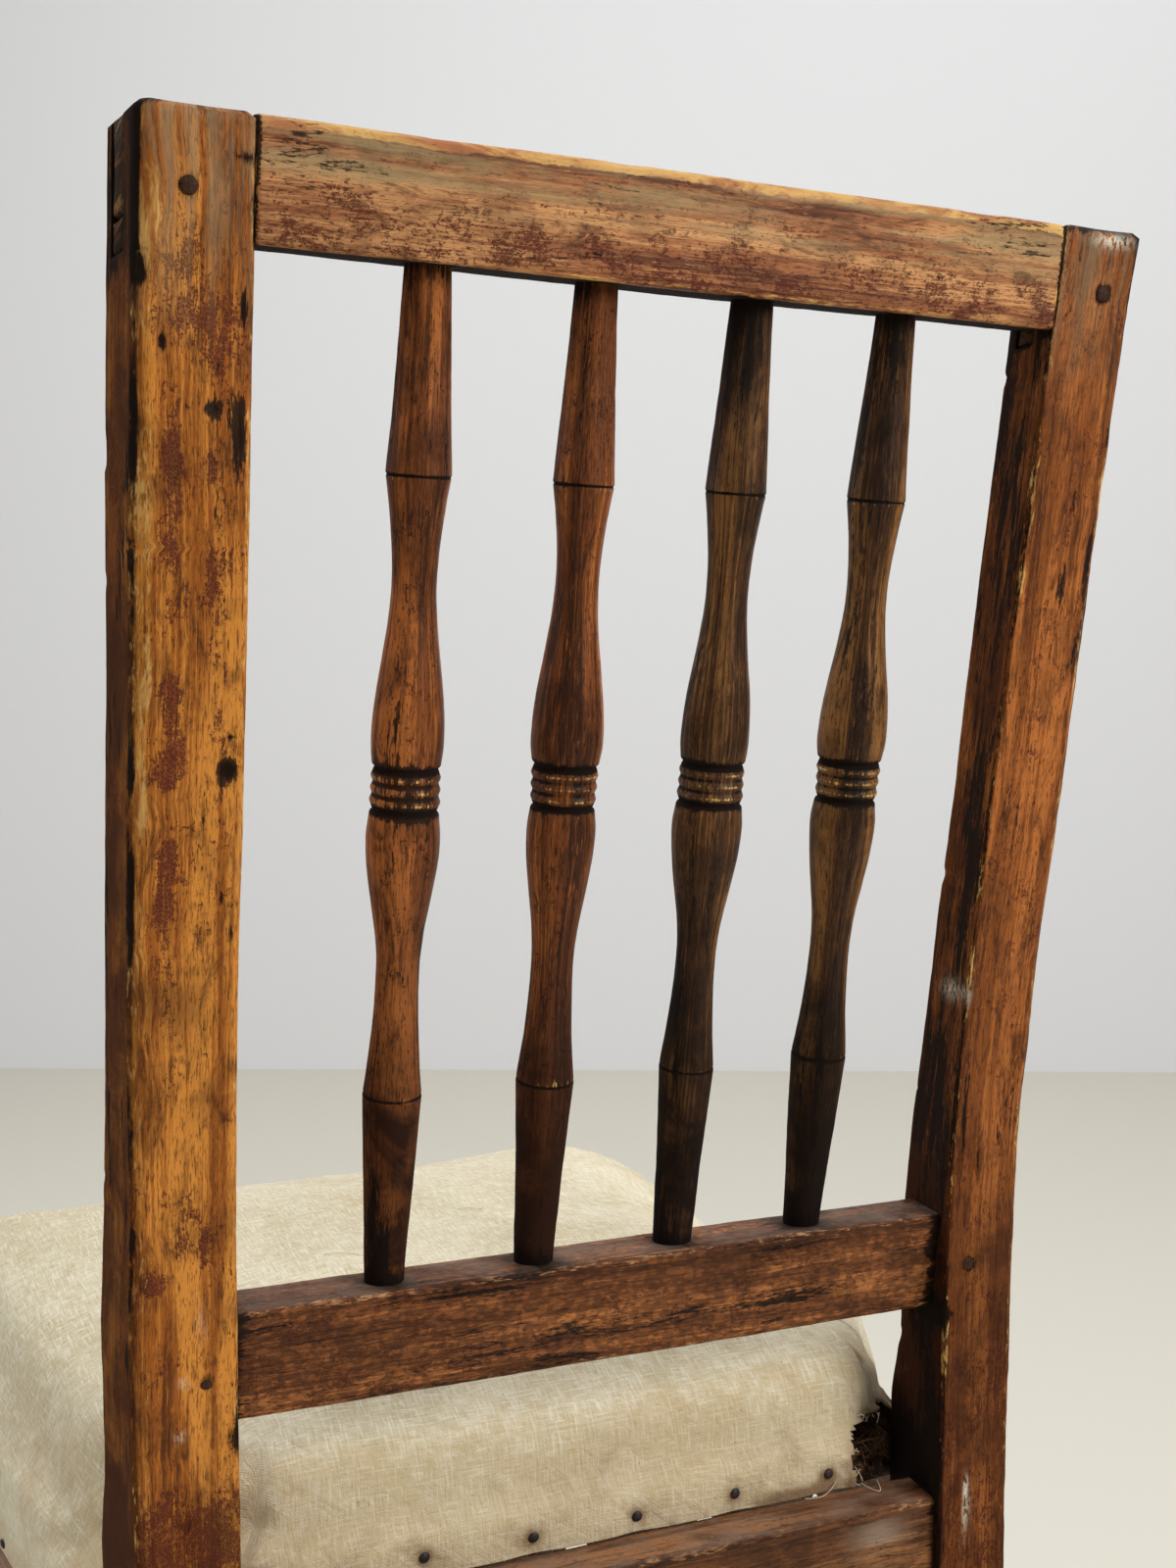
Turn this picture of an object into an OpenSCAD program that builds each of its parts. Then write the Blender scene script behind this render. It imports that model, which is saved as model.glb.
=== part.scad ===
// Side chair with a raked spindle back and a stuffed-over seat, worn and flaking.
// Origin: on the floor, in the middle of the chair's width and depth. The sitter faces -Y.

/* [Overall] */
// Height of the back posts above the floor
total_h = 925; // [880:5:1000]
// Height of the rear seat rail's top face above the floor
seat_h = 385; // [350:5:430]
// Width across the two back posts
back_w = 390; // [350:5:450]
// Depth of the seat, from the back of the rear legs to the front face
seat_d = 416; // [350:2:500]
// Angle that each side of the seat spreads by, from back to front, in degrees
side_splay = 6.5; // [3:0.5:9]
// Angle that the back leans, in degrees
back_rake = 9.5; // [6:0.5:12]

/* [Back posts] */
// Width of a post, seen from behind
post_w = 38; // [32:1:48]
// Depth of a post along the leaning back
post_d = 34; // [28:1:42]
// Depth of a post between the mid rail and the seat
neck_d = 42; // [38:1:46]
// Depth of a post where the seat rails meet it
post_seat_d = 50; // [46:1:60]
// Depth of the rear foot
foot_d = 32; // [26:1:40]
// Height of the bend above the rear seat rail
bend_up = 172; // [150:2:200]
// Radius of the bend at the back of the post
bend_r = 1200; // [600:50:1300]
// Distance that the rear foot kicks back
foot_kick = 16; // [0:1:30]

/* [Rails of the back] */
// Height of the top rail
top_rail_h = 39; // [34:1:48]
// Thickness of the top rail
top_rail_t = 31; // [26:1:33]
// Height of the mid rail
mid_rail_h = 45; // [36:1:55]
// Thickness of the mid rail
mid_rail_t = 29; // [24:1:31]
// Gap between the rear seat rail and the mid rail
mid_rail_up = 86; // [70:1:95]
// Set-back of the mid rail from the post's rear face, at half its height
mid_rail_in = 9; // [8:0.5:11]

/* [Spindles] */
// Number of spindles between the two rails
spindle_n = 4; // [4]
// Distance from one spindle to the next
spindle_pitch = 63; // [48:1:74]
// Diameter of the round tenon at each end of a spindle
spindle_tenon_d = 11; // [9:0.5:13]
// Length of the round tenon at each end of a spindle
spindle_tenon_l = 14; // [10:1:20]
// Diameter of a spindle at its two ends
spindle_end_d = 15.6; // [15:0.1:18]
// Diameter of a spindle at the ridge near each end
spindle_ridge_d = 23; // [20:0.5:26]
// Diameter of a spindle at its slender waists
spindle_waist_d = 16; // [14:0.5:19]
// Diameter of a spindle at its two swellings
spindle_swell_d = 27; // [24:0.5:30]
// Diameter of the ring between the swellings
spindle_ring_d = 24.8; // [22:0.2:27]

/* [Seat rails] */
// Thickness of the rear seat rail
rear_rail_t = 25; // [22:1:28]
// Height of the rear seat rail
rear_rail_h = 60; // [50:1:70]
// Set-back of the rear seat rail from the rear face of the post
rear_rail_in = 5; // [3:0.5:8]
// Thickness of the side and front seat rails
rail_t = 26; // [22:1:30]
// Height of the side and front seat rails
rail_h = 54; // [48:1:60]
// Drop of the side and front rails' tops below the rear rail's top
rail_drop = 12; // [8:1:16]

/* [Legs and stretchers] */
// Width of a front leg at the seat
leg_w = 36; // [32:1:42]
// Width of a front leg at the floor
leg_foot_w = 26; // [22:1:30]
// Height of the stretchers above the floor
stretcher_up = 140; // [100:5:180]
// Diameter of a stretcher at its middle
stretcher_d = 25; // [22:1:28]
// Diameter of a stretcher's round tenon
stretcher_tenon_d = 15; // [13:1:17]
// Depth of a stretcher's tenon in its socket
stretcher_tenon_l = 16; // [12:1:18]

/* [Joints] */
// Thickness of a flat tenon
tenon_t = 12; // [10:0.5:13]
// Length of a blind tenon
tenon_l = 20; // [15:1:22]
// Height of the top rail's through tenon
top_tenon_h = 31; // [26:1:33]
// Shoulder above and below a blind tenon
shoulder = 8; // [5:1:10]
// Clearance between a tenon and its mortise on each side
fit_gap = 0.2; // [0.1:0.05:0.4]
// Diameter of the wooden pegs
peg_d = 6; // [4:0.5:7]
// Clearance round a peg
peg_gap = 0.1; // [0.05:0.05:0.2]
// Distance that a peg stands proud of the post
peg_proud = 0.4; // [0:0.1:1]

/* [Seat] */
// Height of the stuffed seat above the rear seat rail
crown_up = 78; // [60:1:90]
// Height of the seat's upper edge above the rear seat rail
edge_up = 62; // [45:1:70]
// Radius of the seat's upper edge
edge_r = 24; // [16:1:30]
// Thickness of the cover cloth
cover_t = 1.2; // [0.8:0.1:2]
// Height of the cover's skirt on the side and front rails
skirt_h = 27; // [18:1:34]
// Distance that the cover's cut corner clears the post, along the back
corner_in = 20; // [14:1:30]
// Length of the cover's cut corner, along the side
corner_run = 42; // [30:1:60]
// Thickness of the strip that the cover is tacked to
strip_t = 13; // [10:1:16]
// Height of that strip above the rear seat rail
strip_up = 15; // [12:1:20]
// Depth of that strip below the rear seat rail's top
strip_down = 30; // [24:1:40]
// Width of a webbing band
web_w = 50; // [40:1:55]
// Thickness of a webbing band
web_t = 1.5; // [1:0.1:2]
// Number of bands in each direction
web_n = 4; // [3:1:4]
// Thickness of the base cloth
base_t = 1; // [0.6:0.1:1.4]

/* [Tacks] */
// Diameter of a tack's head
tack_d = 4.6; // [4:0.1:6]
// Thickness of a tack's head
tack_head = 0.9; // [0.6:0.1:1.2]
// Diameter of a tack's shank
shank_d = 1.6; // [1.4:0.1:2]
// Length of a tack's shank
shank_l = 8; // [6:0.5:10]
// Distance between the cover's tacks
tack_pitch = 48; // [40:1:60]
// Height of the rear row of tacks above the rear seat rail
rear_tack_up = 9; // [6:0.5:10]
// Distance of the other rows from the cover's lower edge
tack_edge = 5; // [4:0.5:8]

/* [Hidden] */

// Clearance of a soft solid from its neighbours
soft_gap = 0.3;
// Reach of the cutting blocks, beyond anything on the chair
far = 1200;
// Steps in each curved stretch of an outline
steps = 8;

// Heights
bend_z = seat_h + bend_up;
frame_top = seat_h - rail_drop;
frame_bottom = frame_top - rail_h;
mid_bottom = seat_h + mid_rail_up;
mid_top = mid_bottom + mid_rail_h;
top_bottom = total_h - top_rail_h;

// Places from back to front
lean = (total_h - bend_z) * tan(back_rake);
cover_out = cover_t + soft_gap;
top_y = (seat_d + lean + cover_out) / 2;
back_y = top_y - lean;
front_y = back_y - seat_d;
post_front_y = back_y - post_seat_d;
rear_rail_y = back_y - rear_rail_in;
strip_y = rear_rail_y - rear_rail_t;
strip_front_y = strip_y - strip_t;
post_in_x = back_w / 2 - post_w;

function rake_y(z) = back_y + (z - bend_z) * tan(back_rake);
function outer_x(y) = back_w / 2 + (back_y - y) * tan(side_splay);
function ease(t) = (1 - cos(180 * t)) / 2;
function blend(p, q) = [for (i = [0:steps])
    [p[0] + (q[0] - p[0]) * ease(i / steps), p[1] + (q[1] - p[1]) * i / steps]];

// ---------- shared helpers ----------

// Draws its children for the sitter's left, at +X, and again mirrored
module both_sides() {
    children();
    mirror([1, 0, 0]) children();
}

// Local frame of the seat's left side: x = 0 is the outer face, -y runs forward
module on_side() {
    translate([back_w / 2, back_y, 0]) rotate([0, 0, side_splay]) children();
}

// Extrudes an outline of (y, z) points along X, from x0 to x1
module side_extrude(points, x0, x1) {
    translate([x0, 0, 0]) rotate([90, 0, 90]) linear_extrude(x1 - x0) polygon(points);
}

// Block over the whole width between two places along Y
module y_block(y0, y1, z0, z1) {
    translate([-far / 2, y0, z0]) cube([far, y1 - y0, z1 - z0]);
}

// ---------- back posts ----------

// Everything between a left post's two side faces, bent with the post
module post_slab() {
    wide = post_w * cos(side_splay);
    drift = (far - bend_z) * sin(side_splay) * tan(back_rake);
    on_side() translate([0, far / 2, 0]) rotate([90, 0, 0]) linear_extrude(far)
        polygon([[-wide, -10], [0, -10], [0, bend_z], [drift, far], [drift - wide, far], [-wide, bend_z]]);
}

// Where the front face bends, so that the post narrows evenly above the neck
front_bend_z = bend_z - (neck_d - post_d) / tan(back_rake);
// Height at which the rear leg starts to narrow below the seat rails
leg_top_z = frame_bottom - 6;
// Height and depth at which the leg's straight taper starts
leg_neck_z = leg_top_z - 45;
leg_neck_d = 38;
// Outline of a post from the side, front face then rear face
post_outline = concat(
    [[top_y - post_d, total_h], [back_y - neck_d, front_bend_z]],
    blend([back_y - neck_d, seat_h + 72], [post_front_y, seat_h + 30]),
    blend([post_front_y, leg_top_z], [back_y - leg_neck_d, leg_neck_z]),
    [[back_y + foot_kick - foot_d, 0], [back_y + foot_kick, 0], [back_y, leg_top_z]],
    [for (i = [0:steps]) let (a = back_rake * i / steps)
        [back_y + bend_r * (1 - cos(a)), bend_z - bend_r * tan(back_rake / 2) + bend_r * sin(a)]],
    [[top_y, total_h]]);

module post_blank() {
    intersection() {
        side_extrude(post_outline, 0, far / 2);
        post_slab();
    }
}

// ---------- flat tenons on the left side; gap grows them into mortises ----------

// Depth of the top tenon behind the front face of the post
top_tenon_in = 8;
// Height of the open slot that takes the tenon and its wedge
slot_h = top_rail_h + 3;
// Distance that the slot starts inside the post's inner face
slot_in = 12;

// Bar through the post top, between two heights
module top_slot(z0, z1, gap) {
    y0 = rake_y(z0) - post_d + top_tenon_in;
    y1 = rake_y(z1) - post_d + top_tenon_in;
    side_extrude([[y0 - gap, z0], [y0 + tenon_t + gap, z0], [y1 + tenon_t + gap, z1], [y1 - gap, z1]],
                 post_in_x - slot_in, far / 4);
}

// The mid rail's leaning rear face, and the middle of its tenon
function mid_rear_y(z) = back_y - mid_rail_in + (z - (mid_bottom + mid_top) / 2) * tan(back_rake);
mid_y = back_y - mid_rail_in - mid_rail_t / 2;

// Blind tenon across the chair, from just inside the post's inner face
module cross_tenon(y, z0, z1, gap) {
    x0 = post_in_x + (back_y - y) * tan(side_splay);
    translate([x0 - slot_in, y - tenon_t / 2 - gap, z0 + shoulder - gap])
        cube([slot_in + tenon_l + gap, tenon_t + 2 * gap, z1 - z0 - 2 * shoulder + 2 * gap]);
}

module mid_tenon(gap) { cross_tenon(mid_y, mid_bottom, mid_top, gap); }

module rear_tenon(gap) {
    cross_tenon(rear_rail_y - rear_rail_t / 2, seat_h - rear_rail_h, seat_h, gap);
}

// Tenon at both ends of a side rail, in the post and in the front leg
module side_tenon(gap) {
    intersection() {
        on_side() translate([-rail_t / 2 - tenon_t / 2 - gap, -far, frame_bottom + shoulder - gap])
            cube([tenon_t + 2 * gap, 2 * far, rail_h - 2 * shoulder + 2 * gap]);
        y_block(front_y + leg_w - tenon_l - gap, post_front_y + tenon_l + gap, 0, far);
    }
}

// Tenon of the front rail, shorter than the others so that it clears the side rail's
front_tenon_l = leg_w - rail_t / 2 - tenon_t / 2 - 3;

module front_tenon(gap) {
    intersection() {
        on_side() translate([-leg_w - slot_in, -far, frame_bottom + shoulder - gap])
            cube([slot_in + front_tenon_l + gap, 2 * far, rail_h - 2 * shoulder + 2 * gap]);
        y_block(front_y + rail_t / 2 - tenon_t / 2 - gap, front_y + rail_t / 2 + tenon_t / 2 + gap, 0, far);
    }
}

// ---------- pegs and stretchers' tenons ----------

// Height of the top rail's pegs, and the length of every peg
top_peg_z = total_h - 24;
peg_l = 26;

// A peg of the top rail, square to the leaning rear face
module top_peg(d, proud) {
    translate([back_w / 2 - 16, rake_y(top_peg_z), top_peg_z]) rotate([-back_rake, 0, 0])
        rotate([90, 0, 0]) translate([0, 0, -proud]) cylinder(h = peg_l + proud, d = d, $fn = 32);
}

mid_peg_z = (mid_bottom + mid_top) / 2;

// A peg of the mid rail
module mid_peg(d, proud) {
    translate([back_w / 2 - 26, back_y + 4, mid_peg_z]) rotate([90, 0, 0])
        translate([0, 0, -proud]) cylinder(h = peg_l + 4 + proud, d = d, $fn = 32);
}

// Faces of the legs at the height of the stretchers
leg_in = leg_foot_w + (leg_w - leg_foot_w) * stretcher_up / frame_bottom;
foot_front = foot_kick - foot_d;
rear_leg_front_y = back_y + foot_front - (leg_neck_d + foot_front) * stretcher_up / leg_neck_z;
// Place of a side stretcher's centre line, from the outer face of the legs
stretcher_x = -17;

// Place along the side at which the stretcher's centre line crosses y
function side_run(y) = (y - back_y - stretcher_x * sin(side_splay)) / cos(side_splay);
stretcher_y0 = side_run(rear_leg_front_y + stretcher_tenon_l);
stretcher_y1 = side_run(front_y + leg_in - stretcher_tenon_l);
stretcher_l = stretcher_y0 - stretcher_y1;

module side_stretcher_axis() {
    on_side() translate([stretcher_x, stretcher_y0, stretcher_up]) rotate([90, 0, 0]) children();
}

module side_stretcher_bore() {
    side_stretcher_axis() translate([0, 0, -0.5])
        cylinder(h = stretcher_l + 1, d = stretcher_tenon_d + 2 * fit_gap, $fn = 48);
}

// Middle of the cross stretcher, its reach to each side stretcher, and its tenon
cross_y = (rear_leg_front_y + front_y + leg_in) / 2;
cross_x = outer_x(cross_y) + stretcher_x / cos(side_splay);
cross_end_d = 13;
// Depth of the cross stretcher's tenon past the side stretcher's middle
cross_past = 2;

// Turned bar with a gentle swell, along +Z
module turned_bar(l, end_d, mid_d) {
    straight = stretcher_tenon_l + 4;
    rotate_extrude($fn = 64) polygon(concat([[0, 0], [end_d / 2, 0]],
        [for (i = [0:2 * steps]) let (t = i / (2 * steps))
            [end_d / 2 + (mid_d - end_d) / 2 * pow(sin(180 * t), 0.8), straight + (l - 2 * straight) * t]],
        [[end_d / 2, l], [0, l]]));
}

// ---------- tacks ----------

// A tack that stands on z = 0 and points down
module tack() {
    cylinder(h = tack_head, d1 = tack_d, d2 = 0.6 * tack_d, $fn = 24);
    translate([0, 0, -shank_l]) cylinder(h = shank_l, d = shank_d, $fn = 16);
}

module shank_hole() {
    translate([0, 0, -shank_l - 0.3]) cylinder(h = shank_l + 1, d = shank_d + 0.2, $fn = 16);
}

// Height of the side and front rows, and the number of tacks in each row
tack_z = frame_top - skirt_h + tack_edge;
rear_tack_n = 2 * floor((post_in_x - 13) / tack_pitch);
// Sideways shift of the rear row, whose spacing was judged by eye
rear_tack_shift = 4;
side_tack_n = floor((seat_d - post_seat_d - 20) / tack_pitch) + 1;
front_tack_n = 2 * floor((outer_x(front_y) - 20) / tack_pitch) + 1;

module rear_tack_places() {
    for (i = [0:rear_tack_n - 1])
        translate([(i - (rear_tack_n - 1) / 2) * tack_pitch + rear_tack_shift, strip_y + cover_out,
                   seat_h + rear_tack_up]) rotate([-90, 0, 0]) children();
}

module side_tack_places() {
    both_sides() on_side() for (i = [0:side_tack_n - 1])
        translate([cover_out, -post_seat_d - 14 - i * tack_pitch, tack_z]) rotate([0, 90, 0]) children();
}

module front_tack_places() {
    for (i = [0:front_tack_n - 1])
        translate([(i - (front_tack_n - 1) / 2) * tack_pitch, front_y - cover_out, tack_z])
            rotate([90, 0, 0]) children();
}

module cover_tack_places() {
    rear_tack_places() children();
    side_tack_places() children();
    front_tack_places() children();
}

// ---------- webbing layout ----------

// Rows of bands from side to side and from back to front
long_pitch = web_w + 12;
cross_back = post_front_y - 20;
cross_front = front_y + rail_t + 22;
cross_pitch = (cross_back - cross_front - web_w) / (web_n - 1);
// Distance of a band's end from the outer face of its rail
web_end = 6;
// Length of a band's end turned up on the tack strip
web_tail = 12;
// Rise of the lengthwise bands over the crosswise ones
web_lift = web_t + 0.1;
// Distance of a tack from the middle of its band
web_tack = 12;

function long_x(i) = (i - (web_n - 1) / 2) * long_pitch;
function cross_web_y(i) = cross_back - web_w / 2 - i * cross_pitch;

module webbing_tack_places() {
    for (i = [0:web_n - 1], s = [-1, 1]) {
        translate([long_x(i) + s * web_tack, front_y + web_end + 7, frame_top + web_t]) children();
        translate([long_x(i) + s * web_tack, strip_front_y - web_t, frame_top + web_lift + web_tail - 3])
            rotate([90, 0, 0]) children();
        both_sides() on_side()
            translate([-web_end - 7, (cross_web_y(i) - back_y) / cos(side_splay) + s * web_tack,
                       frame_top + web_t]) children();
    }
}

// ---------- wooden parts ----------

module post_left() {
    difference() {
        post_blank();
        top_slot(total_h - slot_h, total_h + 1, fit_gap);
        mid_tenon(fit_gap);
        rear_tenon(fit_gap);
        side_tenon(fit_gap);
        side_stretcher_bore();
        top_peg(peg_d + 2 * peg_gap, 5);
        mid_peg(peg_d + 2 * peg_gap, 5);
    }
}

module back_post_left() {
    color("sienna") post_left();
}

module back_post_right() {
    color("sienna") mirror([1, 0, 0]) post_left();
}

module spindle_axis(i) {
    y0 = mid_rear_y(mid_top) - mid_rail_t / 2;
    y1 = rake_y(top_bottom) - top_rail_t / 2;
    tilt = atan((y1 - y0) / (top_bottom - mid_top));
    translate([(spindle_n / 2 - 0.5 - i) * spindle_pitch, y0, mid_top]) rotate([-tilt, 0, 0])
        children();
}

// Length of a spindle between the two rails
spindle_run = norm([rake_y(top_bottom) - top_rail_t / 2 - mid_rear_y(mid_top) + mid_rail_t / 2,
                    top_bottom - mid_top]);

module spindle_sockets() {
    for (i = [0:spindle_n - 1]) spindle_axis(i)
        translate([0, 0, -spindle_tenon_l - 0.5])
            cylinder(h = spindle_run + 2 * spindle_tenon_l + 1, d = spindle_tenon_d + 2 * fit_gap, $fn = 48);
}

module top_rail() {
    color("peru") difference() {
        union() {
            difference() {
                side_extrude([[rake_y(top_bottom) - top_rail_t, top_bottom], [rake_y(top_bottom), top_bottom],
                              [top_y, total_h], [top_y - top_rail_t, total_h]],
                             -back_w / 2 + post_w / 2, back_w / 2 - post_w / 2);
                both_sides() post_slab();
            }
            both_sides() intersection() {
                top_slot(total_h - top_tenon_h, total_h, 0);
                union() {
                    post_slab();
                    translate([post_in_x - slot_in, -far / 2, 0]) cube([slot_in + 2, far, far]);
                }
            }
        }
        both_sides() top_peg(peg_d + 2 * peg_gap, 5);
        spindle_sockets();
    }
}

module mid_rail() {
    color("sienna") difference() {
        union() {
            difference() {
                side_extrude([[mid_rear_y(mid_bottom) - mid_rail_t, mid_bottom],
                              [mid_rear_y(mid_bottom), mid_bottom], [mid_rear_y(mid_top), mid_top],
                              [mid_rear_y(mid_top) - mid_rail_t, mid_top]],
                             -back_w / 2 + post_w / 2, back_w / 2 - post_w / 2);
                both_sides() post_slab();
            }
            both_sides() mid_tenon(0);
        }
        both_sides() mid_peg(peg_d + 2 * peg_gap, 5);
        spindle_sockets();
    }
}

// Half the outline of a spindle: share of its length, diameter
spindle_form = [[0, spindle_end_d], [0.207, spindle_ridge_d], [0.335, spindle_waist_d],
                [0.473, spindle_swell_d], [0.506, spindle_ring_d], [0.534, spindle_ring_d],
                [0.565, spindle_swell_d], [0.72, spindle_waist_d], [0.815, spindle_ridge_d],
                [1, spindle_end_d]];
// Depth and width of the groove at each end of the ring
spindle_groove = 0.9;
groove_w = 1.4;

// Points between two stations of the spindle; a ridge is reached and left at an angle
function spindle_stretch(a, b, rise, fall) = [for (k = [0:steps]) let (t = k / steps,
    e = rise ? 1 - cos(90 * t) : fall ? sin(90 * t) : ease(t))
    [(a[1] + (b[1] - a[1]) * e) / 2, (a[0] + (b[0] - a[0]) * t) * spindle_run]];

module spindle(i) {
    f = spindle_form;
    ring0 = f[4][0] * spindle_run;
    ring1 = f[5][0] * spindle_run;
    color("saddlebrown") {
        intersection() {
            spindle_axis(i) rotate_extrude($fn = 64) polygon(concat(
                [[0, -4], [spindle_end_d / 2, -4]],
                spindle_stretch(f[0], f[1], true, false), spindle_stretch(f[1], f[2], false, true),
                spindle_stretch(f[2], f[3], false, false), spindle_stretch(f[3], f[4], false, false),
                [[spindle_ring_d / 2 - spindle_groove, ring0 + groove_w / 2],
                 [spindle_ring_d / 2, ring0 + groove_w],
                 [spindle_ring_d / 2, ring1 - groove_w],
                 [spindle_ring_d / 2 - spindle_groove, ring1 - groove_w / 2]],
                spindle_stretch(f[5], f[6], false, false), spindle_stretch(f[6], f[7], false, false),
                spindle_stretch(f[7], f[8], true, false), spindle_stretch(f[8], f[9], false, true),
                [[spindle_end_d / 2, spindle_run + 4], [0, spindle_run + 4]]));
            y_block(-far, far, mid_top, top_bottom);
        }
        spindle_axis(i) translate([0, 0, -spindle_tenon_l])
            cylinder(h = spindle_run + 2 * spindle_tenon_l, d = spindle_tenon_d, $fn = 48);
    }
}

module rear_seat_rail() {
    color("saddlebrown") difference() {
        union() {
            difference() {
                translate([-back_w / 2 + post_w / 2, strip_y, seat_h - rear_rail_h])
                    cube([back_w - post_w, rear_rail_t, rear_rail_h]);
                both_sides() post_slab();
            }
            both_sides() rear_tenon(0);
        }
        strip_nail_holes();
    }
}

module side_rail_left() {
    difference() {
        union() {
            intersection() {
                on_side() translate([-rail_t, -far, frame_bottom]) cube([rail_t, 2 * far, rail_h]);
                y_block(front_y + leg_w, post_front_y, 0, far);
            }
            side_tenon(0);
        }
        side_tack_places() shank_hole();
        webbing_tack_places() shank_hole();
    }
}

module front_seat_rail() {
    color("saddlebrown") difference() {
        union() {
            difference() {
                y_block(front_y, front_y + rail_t, frame_bottom, frame_top);
                both_sides() on_side() translate([-leg_w, -far, 0]) cube([far, 2 * far, far]);
            }
            both_sides() front_tenon(0);
        }
        front_tack_places() shank_hole();
        webbing_tack_places() shank_hole();
    }
}

// Square leg that tapers on its two inner faces
module leg_left() {
    difference() {
        intersection() {
            on_side() translate([0, far, 0]) rotate([90, 0, 0]) linear_extrude(2 * far)
                polygon([[0, 0], [0, frame_top], [-leg_w, frame_top], [-leg_w, frame_bottom],
                         [-leg_foot_w, 0]]);
            side_extrude([[front_y, 0], [front_y + leg_foot_w, 0], [front_y + leg_w, frame_bottom - 5],
                          [front_y + leg_w, frame_top], [front_y, frame_top]], 0, far / 2);
        }
        side_tenon(fit_gap);
        front_tenon(fit_gap);
        side_stretcher_bore();
        side_tack_places() shank_hole();
        front_tack_places() shank_hole();
    }
}

module side_stretcher_left_solid() {
    difference() {
        side_stretcher_axis() turned_bar(stretcher_l, stretcher_tenon_d, stretcher_d);
        cross_bar_space();
    }
}

module cross_bar_space() {
    translate([-cross_x - cross_past - 0.5, cross_y, stretcher_up]) rotate([0, 90, 0])
        cylinder(h = 2 * (cross_x + cross_past) + 1, d = cross_end_d + 2 * fit_gap, $fn = 48);
}

module cross_stretcher() {
    color("saddlebrown") translate([-cross_x - cross_past, cross_y, stretcher_up]) rotate([0, 90, 0])
        turned_bar(2 * (cross_x + cross_past), cross_end_d, stretcher_d - 2);
}

// Strip that the rear edge of the cover is tacked to, cut short of the posts
strip_half = post_in_x - corner_in;

module rear_tack_strip() {
    color("peru") difference() {
        translate([-strip_half, strip_front_y, seat_h - strip_down])
            cube([2 * strip_half, strip_t, strip_up + strip_down]);
        rear_tack_places() shank_hole();
        webbing_tack_places() shank_hole();
        strip_nail_holes();
    }
}

// Nails that hold the strip to the rear seat rail
nail_d = 2.4;
nail_l = 30;
nail_z = seat_h - strip_down + 8;

module strip_nail_places() {
    for (x = [-2, -1, 0, 1, 2]) translate([x * long_pitch, strip_front_y, nail_z])
        rotate([90, 0, 0]) children();
}

module strip_nail_holes() {
    strip_nail_places() translate([0, 0, -nail_l - 0.3]) cylinder(h = nail_l + 1, d = nail_d + 0.2, $fn = 16);
}

module strip_nails() {
    color("dimgray") strip_nail_places() {
        cylinder(h = 1, d = 2.2 * nail_d, $fn = 24);
        translate([0, 0, -nail_l]) cylinder(h = nail_l, d = nail_d, $fn = 16);
    }
}

// ---------- the stuffed seat ----------

module webbing_lengthwise() {
    z = frame_top;
    lift = web_lift;
    color("darkkhaki") difference() {
        for (i = [0:web_n - 1])
            side_extrude([[front_y + web_end, z], [front_y + rail_t - 4, z],
                          [cross_front - 6, z + lift], [strip_front_y, z + lift],
                          [strip_front_y, z + lift + web_tail],
                          [strip_front_y - web_t, z + lift + web_tail],
                          [strip_front_y - web_t, z + lift + web_t],
                          [cross_front - 6, z + lift + web_t], [front_y + rail_t - 4, z + web_t],
                          [front_y + web_end, z + web_t]],
                         long_x(i) - web_w / 2, long_x(i) + web_w / 2);
        webbing_tack_places() shank_hole();
    }
}

module webbing_crosswise() {
    color("darkkhaki") difference() {
        for (i = [0:web_n - 1])
            y_block(cross_web_y(i) - web_w / 2, cross_web_y(i) + web_w / 2, frame_top, frame_top + web_t);
        both_sides() on_side() translate([-web_end, -far, 0]) cube([far, 2 * far, far]);
        webbing_tack_places() shank_hole();
    }
}

module webbing_tacks() {
    color("dimgray") webbing_tack_places() tack();
}

// Height of the base cloth over the tacks of the webbing, and its margin on the rails
base_z = frame_top + web_lift + web_t + tack_head + soft_gap;
base_rim = 8;

module base_cloth() {
    color("burlywood") difference() {
        y_block(front_y + base_rim, strip_front_y - web_t - tack_head - 1, base_z, base_z + base_t);
        both_sides() {
            on_side() translate([-base_rim, -far, 0]) cube([far, 2 * far, far]);
            translate([strip_half, post_front_y - 2, 0]) cube([far, far, far]);
        }
    }
}

// Corners of the seat's plan on the left side: at the frame, and along its upper edge
cut_y = post_front_y - corner_run;
foot_plan = [[strip_half, strip_y], [outer_x(post_front_y), post_front_y], [outer_x(front_y), front_y]];
edge_in = edge_r + 3;
edge_plan = [[strip_half - edge_in, strip_y - edge_r],
             [outer_x(cut_y) - edge_in - 6, cut_y - edge_in / 2],
             [outer_x(front_y) - edge_in - 4, front_y + edge_in + 4]];

// The seat's rounded form, grown by g and starting at height z0
module pad(g, z0) {
    hull() {
        translate([0, 0, z0]) linear_extrude(frame_top + 8 - z0)
            offset(delta = g) polygon(concat(foot_plan, [for (i = [2:-1:0]) [-foot_plan[i][0], foot_plan[i][1]]]));
        for (p = edge_plan, s = [-1, 1])
            translate([s * p[0], p[1], seat_h + edge_up - edge_r]) sphere(r = edge_r + g, $fn = 32);
        translate([-strip_half - g, strip_y - 6, z0])
            cube([2 * (strip_half + g), 6 + g, seat_h + strip_up + 3 - z0]);
        translate([0, (strip_y + front_y) / 2, seat_h + crown_up - 8]) cylinder(h = 8 + g, r = 70, $fn = 32);
    }
}

// Room for the posts, behind their front faces
module post_room(gap) {
    both_sides() translate([post_in_x - gap, post_front_y - gap, 0]) cube([far, far, far]);
}

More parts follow.
